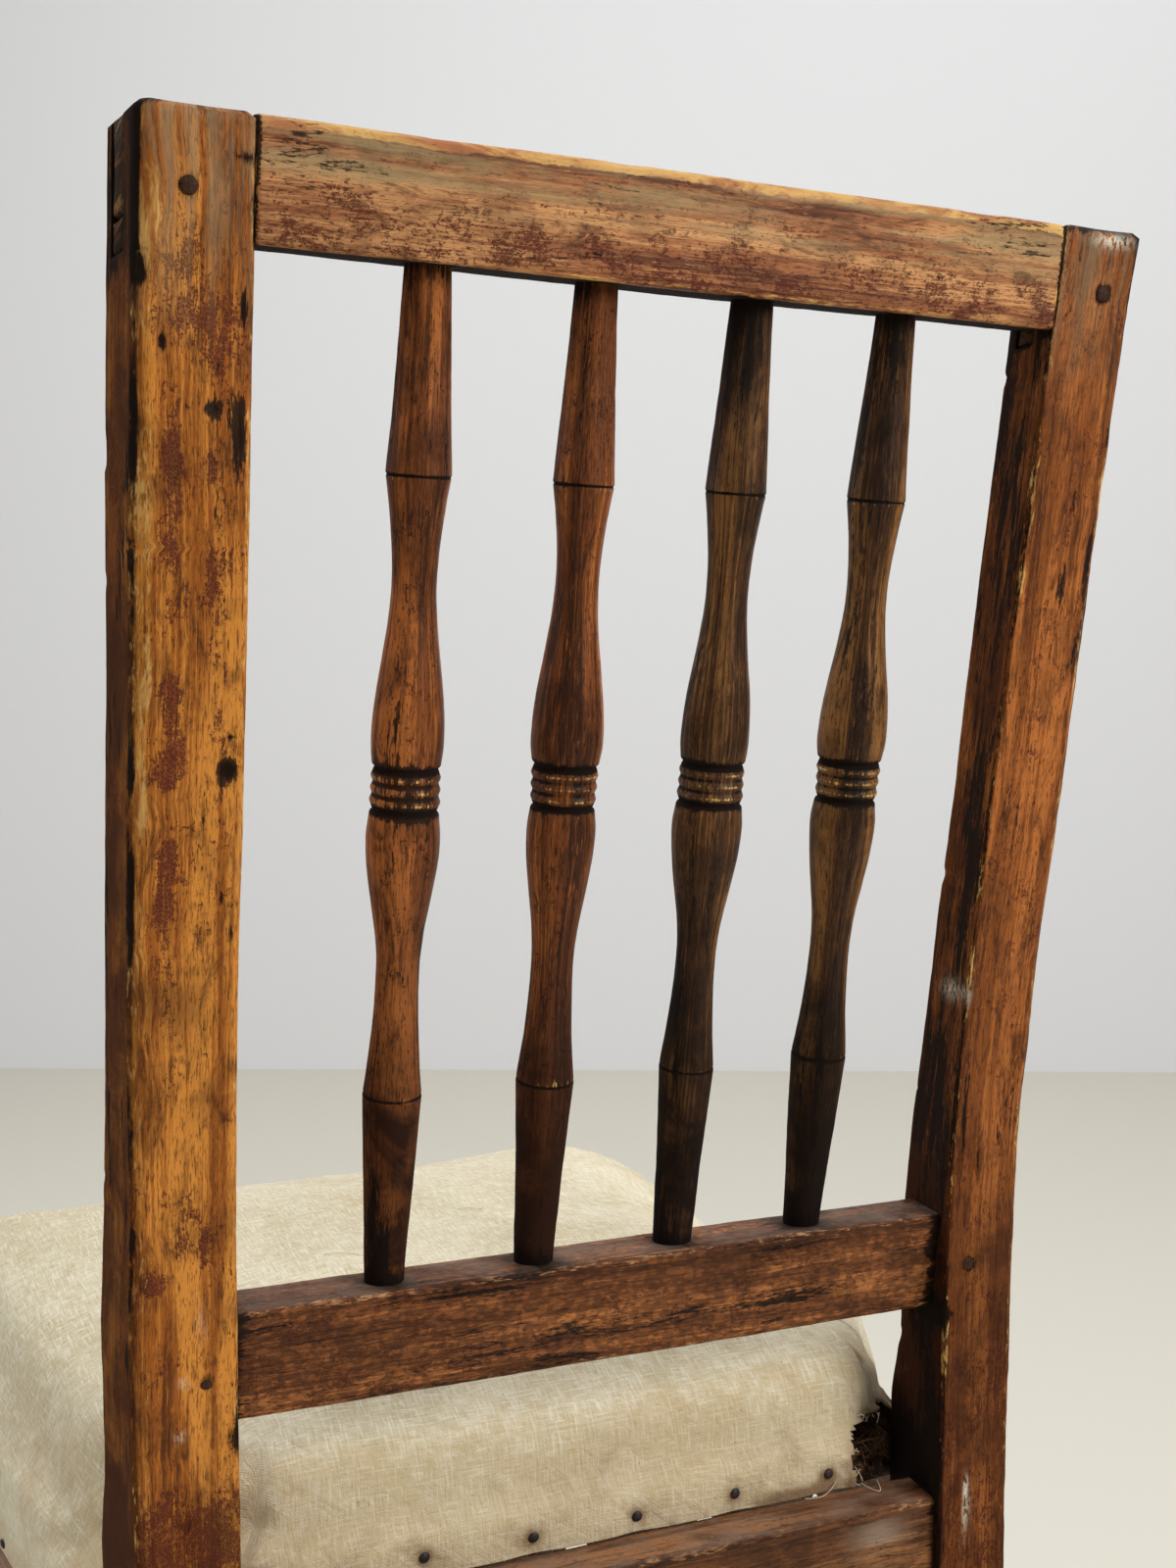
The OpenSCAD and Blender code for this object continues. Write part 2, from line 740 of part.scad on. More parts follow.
module seat_stuffing() {
    color("tan") difference() {
        pad(0, base_z + base_t + soft_gap);
        post_room(1.5);
        translate([-strip_half - 1, strip_front_y - web_t - tack_head - 1, 0])
            cube([2 * strip_half + 2, far, seat_h + strip_up + soft_gap]);
        y_block(strip_y - 2, far, 0, seat_h + strip_up + soft_gap);
        cover_tack_places() shank_hole();
    }
}

// Edge of the torn hole nearest the middle of the seat
tear_x = -post_in_x + corner_in + 6;

// Ragged hole in the cover, low in the corner by the sitter's right post
module tear() {
    translate([0, strip_y - 45, seat_h]) rotate([90, 0, 0]) mirror([0, 0, 1]) linear_extrude(60)
        polygon([[tear_x + 2, -5], [tear_x, 5], [tear_x + 3, 12], [tear_x - 1, 20], [tear_x + 3, 27],
                 [tear_x - 7, 33], [tear_x - 16, 36], [tear_x - 40, 30], [tear_x - 40, -5]]);
}

module seat_cover() {
    color("wheat") difference() {
        pad(cover_out, frame_top - skirt_h);
        pad(soft_gap, frame_top - skirt_h - 1);
        post_room(soft_gap);
        y_block(post_front_y, far, 0, seat_h + 0.5);
        tear();
        cover_tack_places() shank_hole();
    }
}

back_post_left();
back_post_right();
top_rail();
mid_rail();
spindle(0);  // spindle_1
spindle(1);  // spindle_2
spindle(2);  // spindle_3
spindle(3);  // spindle_4
rear_seat_rail();
front_seat_rail();
color("saddlebrown") side_rail_left();  // side_seat_rail_left
color("saddlebrown") mirror([1, 0, 0]) side_rail_left();  // side_seat_rail_right
color("sienna") leg_left();  // front_leg_left
color("sienna") mirror([1, 0, 0]) leg_left();  // front_leg_right
color("saddlebrown") side_stretcher_left_solid();  // side_stretcher_left
color("saddlebrown") mirror([1, 0, 0]) side_stretcher_left_solid();  // side_stretcher_right
cross_stretcher();
rear_tack_strip();
strip_nails();
webbing_lengthwise();
webbing_crosswise();
webbing_tacks();
base_cloth();
seat_stuffing();
seat_cover();
color("dimgray") rear_tack_places() tack();  // cover_tacks_rear
color("dimgray") side_tack_places() tack();  // cover_tacks_sides
color("dimgray") front_tack_places() tack();  // cover_tacks_front
color("peru") both_sides() top_peg(peg_d, peg_proud);  // top_rail_pegs
color("peru") both_sides() intersection() {  // mid_rail_pegs
    mid_peg(peg_d, 0);
    y_block(-far, back_y + peg_proud, 0, far);
}
color("saddlebrown") both_sides() intersection() {  // tenon_wedges
    top_slot(total_h - slot_h, total_h - top_tenon_h, 0);
    post_slab();
}
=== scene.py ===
# %% [markdown]
# # Old side chair with a spindle back
# This lesson dresses the plain model of an old wooden chair: worn arrises, remnants of maroon paint,
# black stains, turned spindles, and a stuffed seat under a torn calico cover.
# Everything is in metres, in the model's own frame: the sitter faces -Y and Z is up.

# %% Set up
import bpy, bmesh, math
import numpy as np
from mathutils import Vector, Matrix
from mathutils.bvhtree import BVHTree


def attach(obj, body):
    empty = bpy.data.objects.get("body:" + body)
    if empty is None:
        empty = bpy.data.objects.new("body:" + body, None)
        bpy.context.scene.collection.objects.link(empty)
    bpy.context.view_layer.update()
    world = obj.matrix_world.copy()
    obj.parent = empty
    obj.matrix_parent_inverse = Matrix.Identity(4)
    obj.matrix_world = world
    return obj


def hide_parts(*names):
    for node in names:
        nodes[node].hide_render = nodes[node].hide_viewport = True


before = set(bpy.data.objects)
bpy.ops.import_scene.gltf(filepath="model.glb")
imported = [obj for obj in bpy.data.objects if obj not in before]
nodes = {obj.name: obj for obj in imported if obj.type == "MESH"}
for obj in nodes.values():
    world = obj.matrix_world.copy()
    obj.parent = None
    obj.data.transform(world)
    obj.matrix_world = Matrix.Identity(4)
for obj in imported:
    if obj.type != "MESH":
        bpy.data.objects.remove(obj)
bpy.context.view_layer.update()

# %% [markdown]
# ## Small helpers for meshes
# A smooth value noise, worked out for many points at once, gives every hand-made unevenness.
# `skin` turns a grid of rings into one closed piece with a UV map in metres, where v runs along the grain.

# %% Noise and smooth steps
def lattice(i, seed):
    h = (i[..., 0] * 374761393 + i[..., 1] * 668265263 + i[..., 2] * 2246822519
         + seed * 3266489917) & 0xffffffff
    h = ((h ^ (h >> 13)) * 1274126177) & 0xffffffff
    return ((h ^ (h >> 16)) & 0xffff) / 65535.0


def noise(p, size, seed=0):
    q = np.asarray(p, float) / size
    i = np.floor(q).astype(np.int64)
    f = q - i
    f = f * f * (3 - 2 * f)
    total = 0.0
    for k in range(8):
        c = np.array([k & 1, (k >> 1) & 1, k >> 2])
        total = total + lattice(i + c, seed) * np.prod(np.where(c, f, 1 - f), axis=-1)
    return 2 * total - 1


def fbm(p, size, seed=0):
    return (0.57 * noise(p, size, seed) + 0.29 * noise(p, size / 2.1, seed + 7)
            + 0.14 * noise(p, size / 4.3, seed + 13))


def unit(v):
    return v / np.maximum(np.linalg.norm(v, axis=-1, keepdims=True), 1e-12)


def smooth(x, lo, hi):
    """0 up to lo, 1 from hi on, and a smooth step between; lo may be the larger."""
    t = np.clip((x - lo) / (hi - lo), 0, 1)
    return t * t * (3 - 2 * t)


def hump(x, centre, width):
    return np.exp(-((x - centre) / width) ** 2)


def outward(V):
    du = np.roll(V, -1, 1) - np.roll(V, 1, 1)
    dv = np.gradient(V, axis=0)
    n = unit(np.cross(du, dv))
    way = np.sign((n * (V - V.mean(1, keepdims=True))).sum(-1).mean())
    return n * way


print("noise at one point:", fbm(np.zeros(3), 0.05))

# %% Meshes from rings of points
def new_object(name, data):
    ob = bpy.data.objects.new(name, data)
    bpy.context.scene.collection.objects.link(ob)
    return ob


def evaluated_mesh(ob):
    return bpy.data.meshes.new_from_object(ob.evaluated_get(bpy.context.evaluated_depsgraph_get()))


def bake(ob):
    """The object's modifiers made part of its mesh."""
    me = evaluated_mesh(ob)
    ob.modifiers.clear()
    ob.data = me


def lengths(points):
    """How far along a line of points each of them lies."""
    return np.concatenate([[0], np.cumsum(np.linalg.norm(np.diff(points, axis=0), axis=1))])


def finish_mesh(name, verts, faces, uvs, values, material):
    """A closed mesh with its UV map, one value of each kind a point, and its faces out."""
    me = bpy.data.meshes.new(name)
    me.from_pydata([tuple(v) for v in verts], [], faces)
    me.uv_layers.new(name="UVMap").data.foreach_set("uv", np.asarray(uvs, np.float32).ravel())
    for key, val in values.items():
        at_points = me.attributes.new(key, "FLOAT", "POINT").data
        at_points.foreach_set("value", np.asarray(val, np.float32).ravel())
    bm = bmesh.new()
    bm.from_mesh(me)
    if bm.calc_volume(signed=True) < 0:
        bmesh.ops.reverse_faces(bm, faces=bm.faces)
    bm.to_mesh(me)
    bm.free()
    me.shade_smooth()
    me.materials.append(material)
    return new_object(name, me)


def skin(name, V, values, material, seed=0):
    n, m, _ = V.shape
    verts = list(V.reshape(-1, 3)) + [V[0].mean(0), V[-1].mean(0)]
    mid = V[n // 2]
    us = np.concatenate([[0], np.cumsum(np.linalg.norm(np.roll(mid, -1, 0) - mid, axis=1))]) + 0.37 * seed
    vs = lengths(V.mean(1)) + 0.53 * seed
    faces, uvs = [], []
    for i in range(n - 1):
        for j in range(m):
            k = (j + 1) % m
            faces.append((i * m + j, i * m + k, (i + 1) * m + k, (i + 1) * m + j))
            uvs += [(us[j], vs[i]), (us[j + 1], vs[i]), (us[j + 1], vs[i + 1]), (us[j], vs[i + 1])]
    for ring, centre, flip in ((0, n * m, True), (n - 1, n * m + 1, False)):
        base = verts[centre]
        for j in range(m):
            k = (j + 1) % m
            tri = (ring * m + j, ring * m + k, centre)
            tri = tri[::-1] if flip else tri
            faces.append(tri)
            for t in tri:
                d = verts[t] - base
                uvs.append((d[0] + d[2] * 0.3 + 0.1 * seed, 0.3 * d[1] + vs[ring]))
    full = {}
    for key, val in values.items():
        val = np.broadcast_to(val, (n, m))
        full[key] = np.concatenate([val.ravel(), [val[0].mean(), val[-1].mean()]])
    return finish_mesh(name, verts, faces, uvs, full, material)


print("mesh helpers ready")

# %% [markdown]
# ### Sawn bars
# Posts, rails and legs are sawn and planed. Each is four arrises followed along its length, so that every
# arris can be rounded, dented and rubbed by itself, which a bevel on a box can't do.

# %% Sawn bars
def bar(name, C, soft, material, seed=1, per_side=12, sharp=0.7, rough=0.00016, dents=(), end=0.0012,
        paint=None, grime=None, mirror=False, bloom=None, pale=None, rub=None, shade=None):
    """A sawn or planed bar: C holds four corners at every station, soft the size of each arris."""
    C = np.asarray(C, float)
    n = len(C)
    soft = np.broadcast_to(np.asarray(soft, float), (n, 4)).copy()
    for k in range(4):
        soft[:, k] *= 1 + 0.30 * fbm(C[:, k], 0.07, seed + k) + 0.22 * fbm(C[:, k], 0.012, seed + 20 + k)
        soft[:, k] *= 1 + 0.7 * smooth(noise(C[:, k], 0.009, seed + 40 + k), 0.72, 0.9)
    tp, tn = unit(np.roll(C, 1, 1) - C), unit(np.roll(C, -1, 1) - C)
    a0, a1 = C + tp * soft[..., None], C + tn * soft[..., None]
    ctl = (a0 + a1) / 2 * (1 - sharp) + C * sharp
    rings, wear = [], []
    for k in range(4):
        for s in np.linspace(0, 1, 5):
            rings.append((1 - s) ** 2 * a0[:, k] + 2 * s * (1 - s) * ctl[:, k] + s * s * a1[:, k])
            wear.append(np.ones(n))
        b0 = a0[:, (k + 1) % 4]
        long = np.linalg.norm(b0 - a1[:, k], axis=1)
        for s in np.linspace(0, 1, per_side + 2)[1:-1]:
            rings.append(a1[:, k] * (1 - s) + b0 * s)
            wear.append(np.exp(-long * min(s, 1 - s) / 0.0013))
    V, wear = np.stack(rings, 1), np.stack(wear, 1)
    run = lengths(V.mean(1))
    for d in (run, run[-1] - run):
        pull = end * (1 - np.sqrt(np.clip(1 - (1 - np.clip(d / end, 0, 1)) ** 2, 0, 1)))
        mid = V.mean(1, keepdims=True)
        size = np.linalg.norm(V - mid, axis=-1, keepdims=True)
        V = V - (V - mid) / size * pull[:, None, None]
        wear = np.maximum(wear, np.exp(-d / 0.002)[:, None] * 0.9)
    nrm = outward(V)
    V = V + nrm * (rough * fbm(V, 0.011, seed + 3) + 0.00035 * noise(V, 0.05, seed + 5) - 0.0001)[..., None]
    for centre, size, depth in dents:
        d = np.linalg.norm((V - np.array(centre)) / np.array(size), axis=-1)
        V = V - nrm * (depth * np.clip(1 - d * d, 0, 1) ** 1.5)[..., None]
    V[..., 2] = np.clip(V[..., 2], 0.0, 0.925)  # no higher than the chair, nor under the floor
    values = {"wear": wear + (rub(V) if rub else 0.0), "paint": paint(V) if paint else 0.3}
    for key, rule in (("grime", grime), ("bloom", bloom), ("pale", pale), ("shade", shade)):
        values[key] = rule(V) if rule else 0.0
    if mirror:
        V = V * np.array([-1, 1, 1])
    return skin(name, V, values, material, seed)


print("bars ready")

# %% [markdown]
# ### Turned pieces
# Spindles and stretchers come off a lathe, so they are rings about an axis, a little out of round.

# %% Turned pieces and colours
def turned(name, a, b, zs, rs, material, seed=1, around=48, grime=None, wear=None):
    """A turned piece from a to b, with radii rs at shares zs of its length."""
    a, b = np.array(a, float), np.array(b, float)
    axis = unit(b - a)
    e1 = unit(np.cross(axis, [0.0, 1.0, 0.1]))
    e2 = np.cross(axis, e1)
    ang = np.linspace(0, 2 * math.pi, around, endpoint=False)
    ring = np.cos(ang)[:, None] * e1 + np.sin(ang)[:, None] * e2
    mid = a + (b - a) * np.asarray(zs)[:, None]
    r = np.asarray(rs)[:, None] * (1 + 0.012 * noise(mid, 0.09, seed)[:, None])
    V = mid[:, None, :] + ring[None] * r[..., None]
    V = V + ring[None] * (0.00022 * fbm(V, 0.012, seed + 1) + 0.0003 * noise(V, 0.04, seed + 2))[..., None]
    share = np.broadcast_to(np.asarray(zs)[:, None], V.shape[:2])
    # Painted shade: darker towards the start of the piece, low on a spindle, and near its end.
    shade = 0.14 + smooth(share, 0.50, 0.12) + 0.40 * smooth(share, 0.78, 1.0)
    values = {"wear": wear(share) if wear else 0.2, "paint": 0.3, "grime": grime(share, V) if grime
              else 0.0, "shade": shade}
    return skin(name, V, values, material, seed)


def srgb(r, g, b):
    """A colour in steps of 0 to 255, made linear, with full alpha."""
    share = (r / 255, g / 255, b / 255)
    return tuple(c / 12.92 if c <= 0.04045 else ((c + 0.055) / 1.055) ** 2.4 for c in share) + (1.0,)


print("helpers ready")

# %% [markdown]
# ## Shared shader groups
# Each effect that several finishes use is one node group: wood grain, flaking paint, worn arrises,
# black streaks, dust and a plain weave. They give out only colours, masks and heights.

# %% Node helpers
def N(t, kind, ins={}, **props):
    """A node with its properties and inputs set; an input may be another node's output."""
    n = t.nodes.new(kind)
    for k, v in props.items():
        setattr(n, k, v)
    for k, v in ins.items():
        s = n.inputs[k]
        if isinstance(v, bpy.types.NodeSocket):
            t.links.new(v, s)
        else:
            s.default_value = v
    return n


def M(t, op, a, b=0.0, clamp=False):
    return N(t, "ShaderNodeMath", {0: a, 1: b}, operation=op, use_clamp=clamp).outputs[0]


def add(t, a, b):
    return M(t, "ADD", a, b)


def less(t, a, b):
    return M(t, "SUBTRACT", a, b)


def mul(t, a, b):
    return M(t, "MULTIPLY", a, b)


def mix(t, fac, a, b):
    return N(t, "ShaderNodeMix", {0: fac, 6: a, 7: b}, data_type="RGBA").outputs[2]


def step(t, x, lo, hi, a=0.0, b=1.0):
    return N(t, "ShaderNodeMapRange", {0: x, 1: lo, 2: hi, 3: a, 4: b},
             interpolation_type="SMOOTHSTEP").outputs[0]


def stretch(t, v, s):
    return N(t, "ShaderNodeVectorMath", {0: v, 1: s}, operation="MULTIPLY").outputs[0]


def cloud(t, v, scale=1.0, detail=3.0, rough=0.55, distort=0.0):
    return N(t, "ShaderNodeTexNoise", {"Vector": v, "Scale": scale, "Detail": detail, "Roughness": rough,
                                       "Distortion": distort}).outputs[0]


def grainy(t, v, across, along, detail=3.0, rough=0.55, distort=0.0):
    """Noise drawn out along v: its two numbers are how many marks there are in a metre each way."""
    return cloud(t, stretch(t, v, (across, along, 1)), 1.0, detail, rough, distort)


def group(name, ins, outs):
    g = bpy.data.node_groups.new(name, "ShaderNodeTree")
    kinds = {"F": "NodeSocketFloat", "C": "NodeSocketColor", "V": "NodeSocketVector"}
    for n, k, d in ins:
        s = g.interface.new_socket(n, in_out="INPUT", socket_type=kinds[k])
        if d is not None:
            s.default_value = d
    for n, k in outs:
        g.interface.new_socket(n, in_out="OUTPUT", socket_type=kinds[k])
    i, o = g.nodes.new("NodeGroupInput"), g.nodes.new("NodeGroupOutput")
    return g, i.outputs, o.inputs


def use(t, g, ins):
    return N(t, "ShaderNodeGroup", ins, node_tree=g).outputs


print("node helpers ready")

# %% Wood grain
g_wood, i, o = group("wood grain", [("Vector", "V", None), ("Light", "C", None), ("Mid", "C", None),
                                    ("Dark", "C", None)], [("Color", "C"), ("Height", "F")])
t = g_wood
broad = grainy(t, i["Vector"], 42, 3.4, 2, 0.5, 1.2)
fibre = grainy(t, i["Vector"], 560, 10, 5, 0.72, 0.25)
lines = grainy(t, i["Vector"], 1150, 105, 4, 0.7, 0.35)
pores = step(t, grainy(t, i["Vector"], 1900, 210, 2, 0.6), 0.58, 0.66)
tone = add(t, mul(t, broad, 1.1), mul(t, fibre, 0.9))
col = mix(t, step(t, tone, 0.98, 1.16), i["Mid"], i["Light"])
col = mix(t, step(t, tone, 0.96, 0.78, 0.0, 0.85), col, i["Dark"])
col = mix(t, step(t, lines, 0.54, 0.64, 0.0, 0.75), col, i["Dark"])
col = mix(t, step(t, lines, 0.44, 0.34, 0.0, 0.45), col, i["Light"])
col = mix(t, mul(t, pores, 0.6), col, i["Dark"])
t.links.new(col, o["Color"])
t.links.new(less(t, add(t, mul(t, fibre, 0.5), mul(t, lines, -0.7)), mul(t, pores, 0.5)),
            o["Height"])

print("grain outputs:", list(o.keys()))

# %% Flaking paint and worn arrises
g_flakes, i, o = group("flaking paint", [("Vector", "V", None), ("Amount", "F", 0.5)],
                       [("Mask", "F"), ("Height", "F")])
t = g_flakes
big = grainy(t, i["Vector"], 85, 60, 3, 0.6, 0.5)
small = grainy(t, i["Vector"], 620, 430, 5, 0.75, 0.6)
fine = grainy(t, i["Vector"], 1500, 80, 2, 0.5)
cell = N(t, "ShaderNodeTexVoronoi", {"Vector": stretch(t, i["Vector"], (900, 600, 1)), "Scale": 1.0},
         feature="DISTANCE_TO_EDGE").outputs[0]
s = add(t, mul(t, big, 0.8), add(t, mul(t, small, 1.1), mul(t, fine, 0.45)))
s = add(t, s, mul(t, i["Amount"], 0.42))
mask = mul(t, step(t, s, 1.42, 1.45), step(t, cell, 0.02, 0.09, 0.45, 1.0))
t.links.new(mask, o["Mask"])
t.links.new(mul(t, step(t, s, 1.40, 1.48), step(t, cell, 0.0, 0.2, 0.2, 1.0)), o["Height"])

g_edge, i, o = group("worn arris", [("Vector", "V", None), ("Wear", "F", 0.0), ("Amount", "F", 0.5)],
                     [("Mask", "F")])
t = g_edge
rub = grainy(t, i["Vector"], 60, 26, 3, 0.6)
nick = grainy(t, i["Vector"], 700, 160, 3, 0.6)
fray = grainy(t, i["Vector"], 1500, 240, 3, 0.7)
s = add(t, mul(t, rub, 0.6), add(t, mul(t, nick, 0.7), mul(t, fray, 0.35)))
s = add(t, mul(t, i["Wear"], i["Amount"]), s)
t.links.new(step(t, s, 1.33, 1.47), o["Mask"])

print("arris outputs:", list(o.keys()))

# %% Black streaks and dust
g_streak, i, o = group("black streaks", [("Vector", "V", None), ("Amount", "F", 0.3)], [("Mask", "F")])
t = g_streak
run = grainy(t, i["Vector"], 230, 24, 6, 0.75, 0.5)
place = grainy(t, i["Vector"], 45, 11, 2, 0.5)
speck = grainy(t, i["Vector"], 1000, 240, 4, 0.7)
s = add(t, mul(t, run, 0.95), add(t, mul(t, place, 0.65), mul(t, speck, 0.4)))
s = add(t, s, mul(t, i["Amount"], 0.5))
t.links.new(step(t, s, 1.30, 1.37), o["Mask"])

g_dust, i, o = group("dust", [("Vector", "V", None), ("Normal", "V", None), ("Amount", "F", 0.5)],
                     [("Mask", "F")])
t = g_dust
up = step(t, N(t, "ShaderNodeSeparateXYZ", {0: i["Normal"]}).outputs[2], 0.55, 0.98)
soft = cloud(t, i["Vector"], 55.0, 4, 0.65)
t.links.new(mul(t, mul(t, up, step(t, soft, 0.3, 0.75)), i["Amount"]), o["Mask"])

print("dust outputs:", list(o.keys()))

# %% Plain weave
g_weave, i, o = group("plain weave", [("Vector", "V", None), ("Pitch", "F", 0.0007)],
                      [("Height", "F"), ("Thread", "F")])
t = g_weave
wob = cloud(t, i["Vector"], 90.0, 2)
xyz = N(t, "ShaderNodeSeparateXYZ", {0: i["Vector"]}).outputs
k = M(t, "DIVIDE", math.pi, i["Pitch"])
wu = M(t, "SINE", add(t, mul(t, xyz[0], k), mul(t, wob, 6.0)))
wv = M(t, "SINE", add(t, mul(t, xyz[1], k), mul(t, wob, 5.0)))
slub_u = grainy(t, i["Vector"], 1400, 40, 2)
slub_v = grainy(t, i["Vector"], 40, 1400, 2)
t.links.new(add(t, mul(t, mul(t, wu, wv), 0.35), add(t, slub_u, slub_v)), o["Height"])
t.links.new(add(t, mul(t, slub_u, 0.5), mul(t, slub_v, 0.5)), o["Thread"])
print("groups:", [g.name for g in bpy.data.node_groups])

# %% [markdown]
# ## Finishes
# One recipe makes every wooden finish. It lays grain, then stain, black streaks, paint remnants, worn
# arrises and dust over each other, led by values kept on the meshes: wear, paint, grime mixed with
# painted shade, haze mixed with a painted sheen, bare spots (pale), and painted shade low down and on
# faces turned from the lamps (shade).

# %% The wood recipe
def new_material(name):
    m = bpy.data.materials.new(name)
    m.use_nodes = True
    t = m.node_tree
    t.nodes.clear()
    out = t.nodes.new("ShaderNodeOutputMaterial")
    p = t.nodes.new("ShaderNodeBsdfPrincipled")
    t.links.new(p.outputs[0], out.inputs[0])
    return m, t, p


def attr(t, name):
    return N(t, "ShaderNodeAttribute", attribute_name=name).outputs["Fac"]


BLACK, MAROON, GOLD = srgb(21, 14, 10), srgb(88, 34, 24), srgb(226, 182, 108)


def wood(name, light, mid, dark, flakes=0.5, streaks=0.5, worn=0.5, gold=GOLD, dust=0.3, rough=0.42,
         bloom=0.0, paint=MAROON, haze_and_sheen=srgb(150, 128, 96), scaly=0.0):
    m, t, p = new_material(name)
    uv = N(t, "ShaderNodeTexCoord").outputs["UV"]
    obj = N(t, "ShaderNodeTexCoord").outputs["Object"]
    normal = N(t, "ShaderNodeNewGeometry").outputs["Normal"]
    grain = use(t, g_wood, {"Vector": uv, "Light": light, "Mid": mid, "Dark": dark})
    col = grain["Color"]
    patch = cloud(t, obj, 26.0, 4, 0.65, 0.5)
    blotch = grainy(t, uv, 120, 30, 4, 0.7, 0.8)
    col = mix(t, step(t, blotch, 0.50, 0.70, 0.0, 0.75), col, dark)
    col = mix(t, step(t, patch, 0.46, 0.68, 0.0, 0.50), col, dark)
    if scaly:
        cells = N(t, "ShaderNodeTexVoronoi", {"Vector": stretch(t, uv, (420, 300, 1)), "Scale": 1.0,
                                              "Randomness": 1.0}, feature="SMOOTH_F1").outputs[0]
        scale = step(t, cells, 0.25, 0.6)
        col = mix(t, mul(t, step(t, scale, 0.35, 0.8), scaly * 0.55), col, dark)
    flake = use(t, g_flakes, {"Vector": uv, "Amount": mul(t, attr(t, "paint"), 2 * flakes)})
    col = mix(t, mul(t, flake["Mask"], 0.9 if flakes else 0.0), col,
              mix(t, step(t, patch, 0.5, 0.8), paint, dark))
    # Painted shade: the shade value darkens a face towards the dark wood colour.
    col = mix(t, mul(t, attr(t, "shade"), step(t, patch, 0.2, 0.7, 0.45, 1.0)), col, dark)
    # A pale haze, partly real bloom and partly a painted sheen for the gloss on the tops of the posts and
    # the top rail.
    if bloom:
        haze_and_sheen_mask = step(t, grainy(t, uv, 150, 10, 4, 0.65), 0.40, 0.62)
        col = mix(t, mul(t, mul(t, haze_and_sheen_mask, attr(t, "bloom")), bloom), col, haze_and_sheen)
    grime = attr(t, "grime")
    streak = use(t, g_streak, {"Vector": uv, "Amount": add(t, mul(t, grime, 0.9), streaks - 0.3)})["Mask"]
    worn_mask = use(t, g_edge, {"Vector": uv, "Wear": attr(t, "wear"), "Amount": worn})["Mask"]
    col = mix(t, mul(t, worn_mask, 0.85), col, mix(t, step(t, blotch, 0.42, 0.60), gold, mid))
    col = mix(t, mul(t, streak, 0.92), col, BLACK)
    # Near black where the grime value is high: real dirt, and painted shade on faces turned from the lamps
    # and under the top rail.
    ragged = add(t, grime, mul(t, less(t, grainy(t, uv, 520, 150, 4, 0.7), 0.5), 1.3))
    col = mix(t, step(t, ragged, 0.30, 0.95, 0.0, 0.9), col, srgb(24, 15, 10))
    chip = mul(t, attr(t, "pale"), step(t, grainy(t, uv, 700, 260, 3, 0.7), 0.42, 0.52))
    col = mix(t, chip, col, srgb(216, 208, 188))
    dusty = use(t, g_dust, {"Vector": obj, "Normal": normal, "Amount": dust})["Mask"]
    col = mix(t, dusty, col, srgb(140, 120, 106))
    t.links.new(col, p.inputs["Base Color"])
    r = add(t, rough, mul(t, less(t, blotch, 0.5), 0.5))
    r = add(t, r, add(t, mul(t, dusty, 0.4), mul(t, flake["Mask"], 0.12)))
    r = M(t, "ADD", r, add(t, mul(t, grime, 0.8), mul(t, attr(t, "shade"), 0.6)), clamp=True)
    t.links.new(r, p.inputs["Roughness"])
    p.inputs["Specular IOR Level"].default_value = 0.12
    h = add(t, mul(t, grain["Height"], 0.45), mul(t, flake["Height"], 0.5))
    h = less(t, h, mul(t, streak, 0.45))
    h = add(t, h, mul(t, cloud(t, obj, 420.0, 4, 0.65), 0.45))
    if scaly:
        h = less(t, h, mul(t, scale, 0.9 * scaly))
    bump = N(t, "ShaderNodeBump", {"Strength": 0.8, "Distance": 0.0004, "Height": h})
    t.links.new(bump.outputs[0], p.inputs["Normal"])
    return m


print("wood recipe ready")

# %% The wooden finishes
m_post = wood("post_wood", srgb(206, 134, 56), srgb(152, 86, 30), srgb(70, 36, 15), flakes=0.62,
              streaks=0.44, worn=0.50, rough=0.34, bloom=0.6, gold=srgb(212, 166, 96))
m_post_r = wood("post_wood_red", srgb(186, 110, 52), srgb(134, 74, 30), srgb(56, 28, 12), flakes=0.4,
                streaks=0.56, worn=0.48, rough=0.34, bloom=0.4)
m_top = wood("rail_wood_top", srgb(220, 160, 104), srgb(168, 106, 66), srgb(80, 44, 29), flakes=0.5,
             streaks=0.52, worn=0.92, bloom=0.65, rough=0.32, haze_and_sheen=srgb(160, 138, 98),
             gold=srgb(216, 170, 98))
m_mid = wood("rail_wood_mid", srgb(172, 108, 60), srgb(122, 72, 38), srgb(54, 29, 16), flakes=0.30,
             streaks=0.58, worn=0.50, gold=srgb(200, 150, 104), dust=0.5, rough=0.34,
             paint=srgb(78, 42, 26), scaly=0.8)
m_spin = wood("spindle_wood_red", srgb(186, 110, 54), srgb(120, 66, 32), srgb(42, 22, 12), flakes=0.4,
              streaks=0.56, worn=0.5, rough=0.25, paint=srgb(52, 26, 18))
m_spin_d = wood("spindle_wood_dark", srgb(146, 100, 54), srgb(78, 50, 28), srgb(26, 16, 10), flakes=0.2,
                streaks=0.62, worn=0.5, rough=0.25)
m_seat = wood("seat_rail_wood", srgb(162, 108, 66), srgb(110, 67, 38), srgb(46, 27, 16), flakes=0.25,
              streaks=0.5, worn=0.5, gold=srgb(178, 136, 96), dust=0.5, rough=0.42, paint=srgb(84, 46, 30),
              bloom=0.5, haze_and_sheen=srgb(176, 160, 140))
m_raw = wood("raw_wood", srgb(112, 78, 48), srgb(74, 48, 30), srgb(38, 24, 15), flakes=0.0, streaks=0.5,
             worn=0.2, dust=0.2, rough=0.7)

print("wooden finishes:", len(bpy.data.materials))

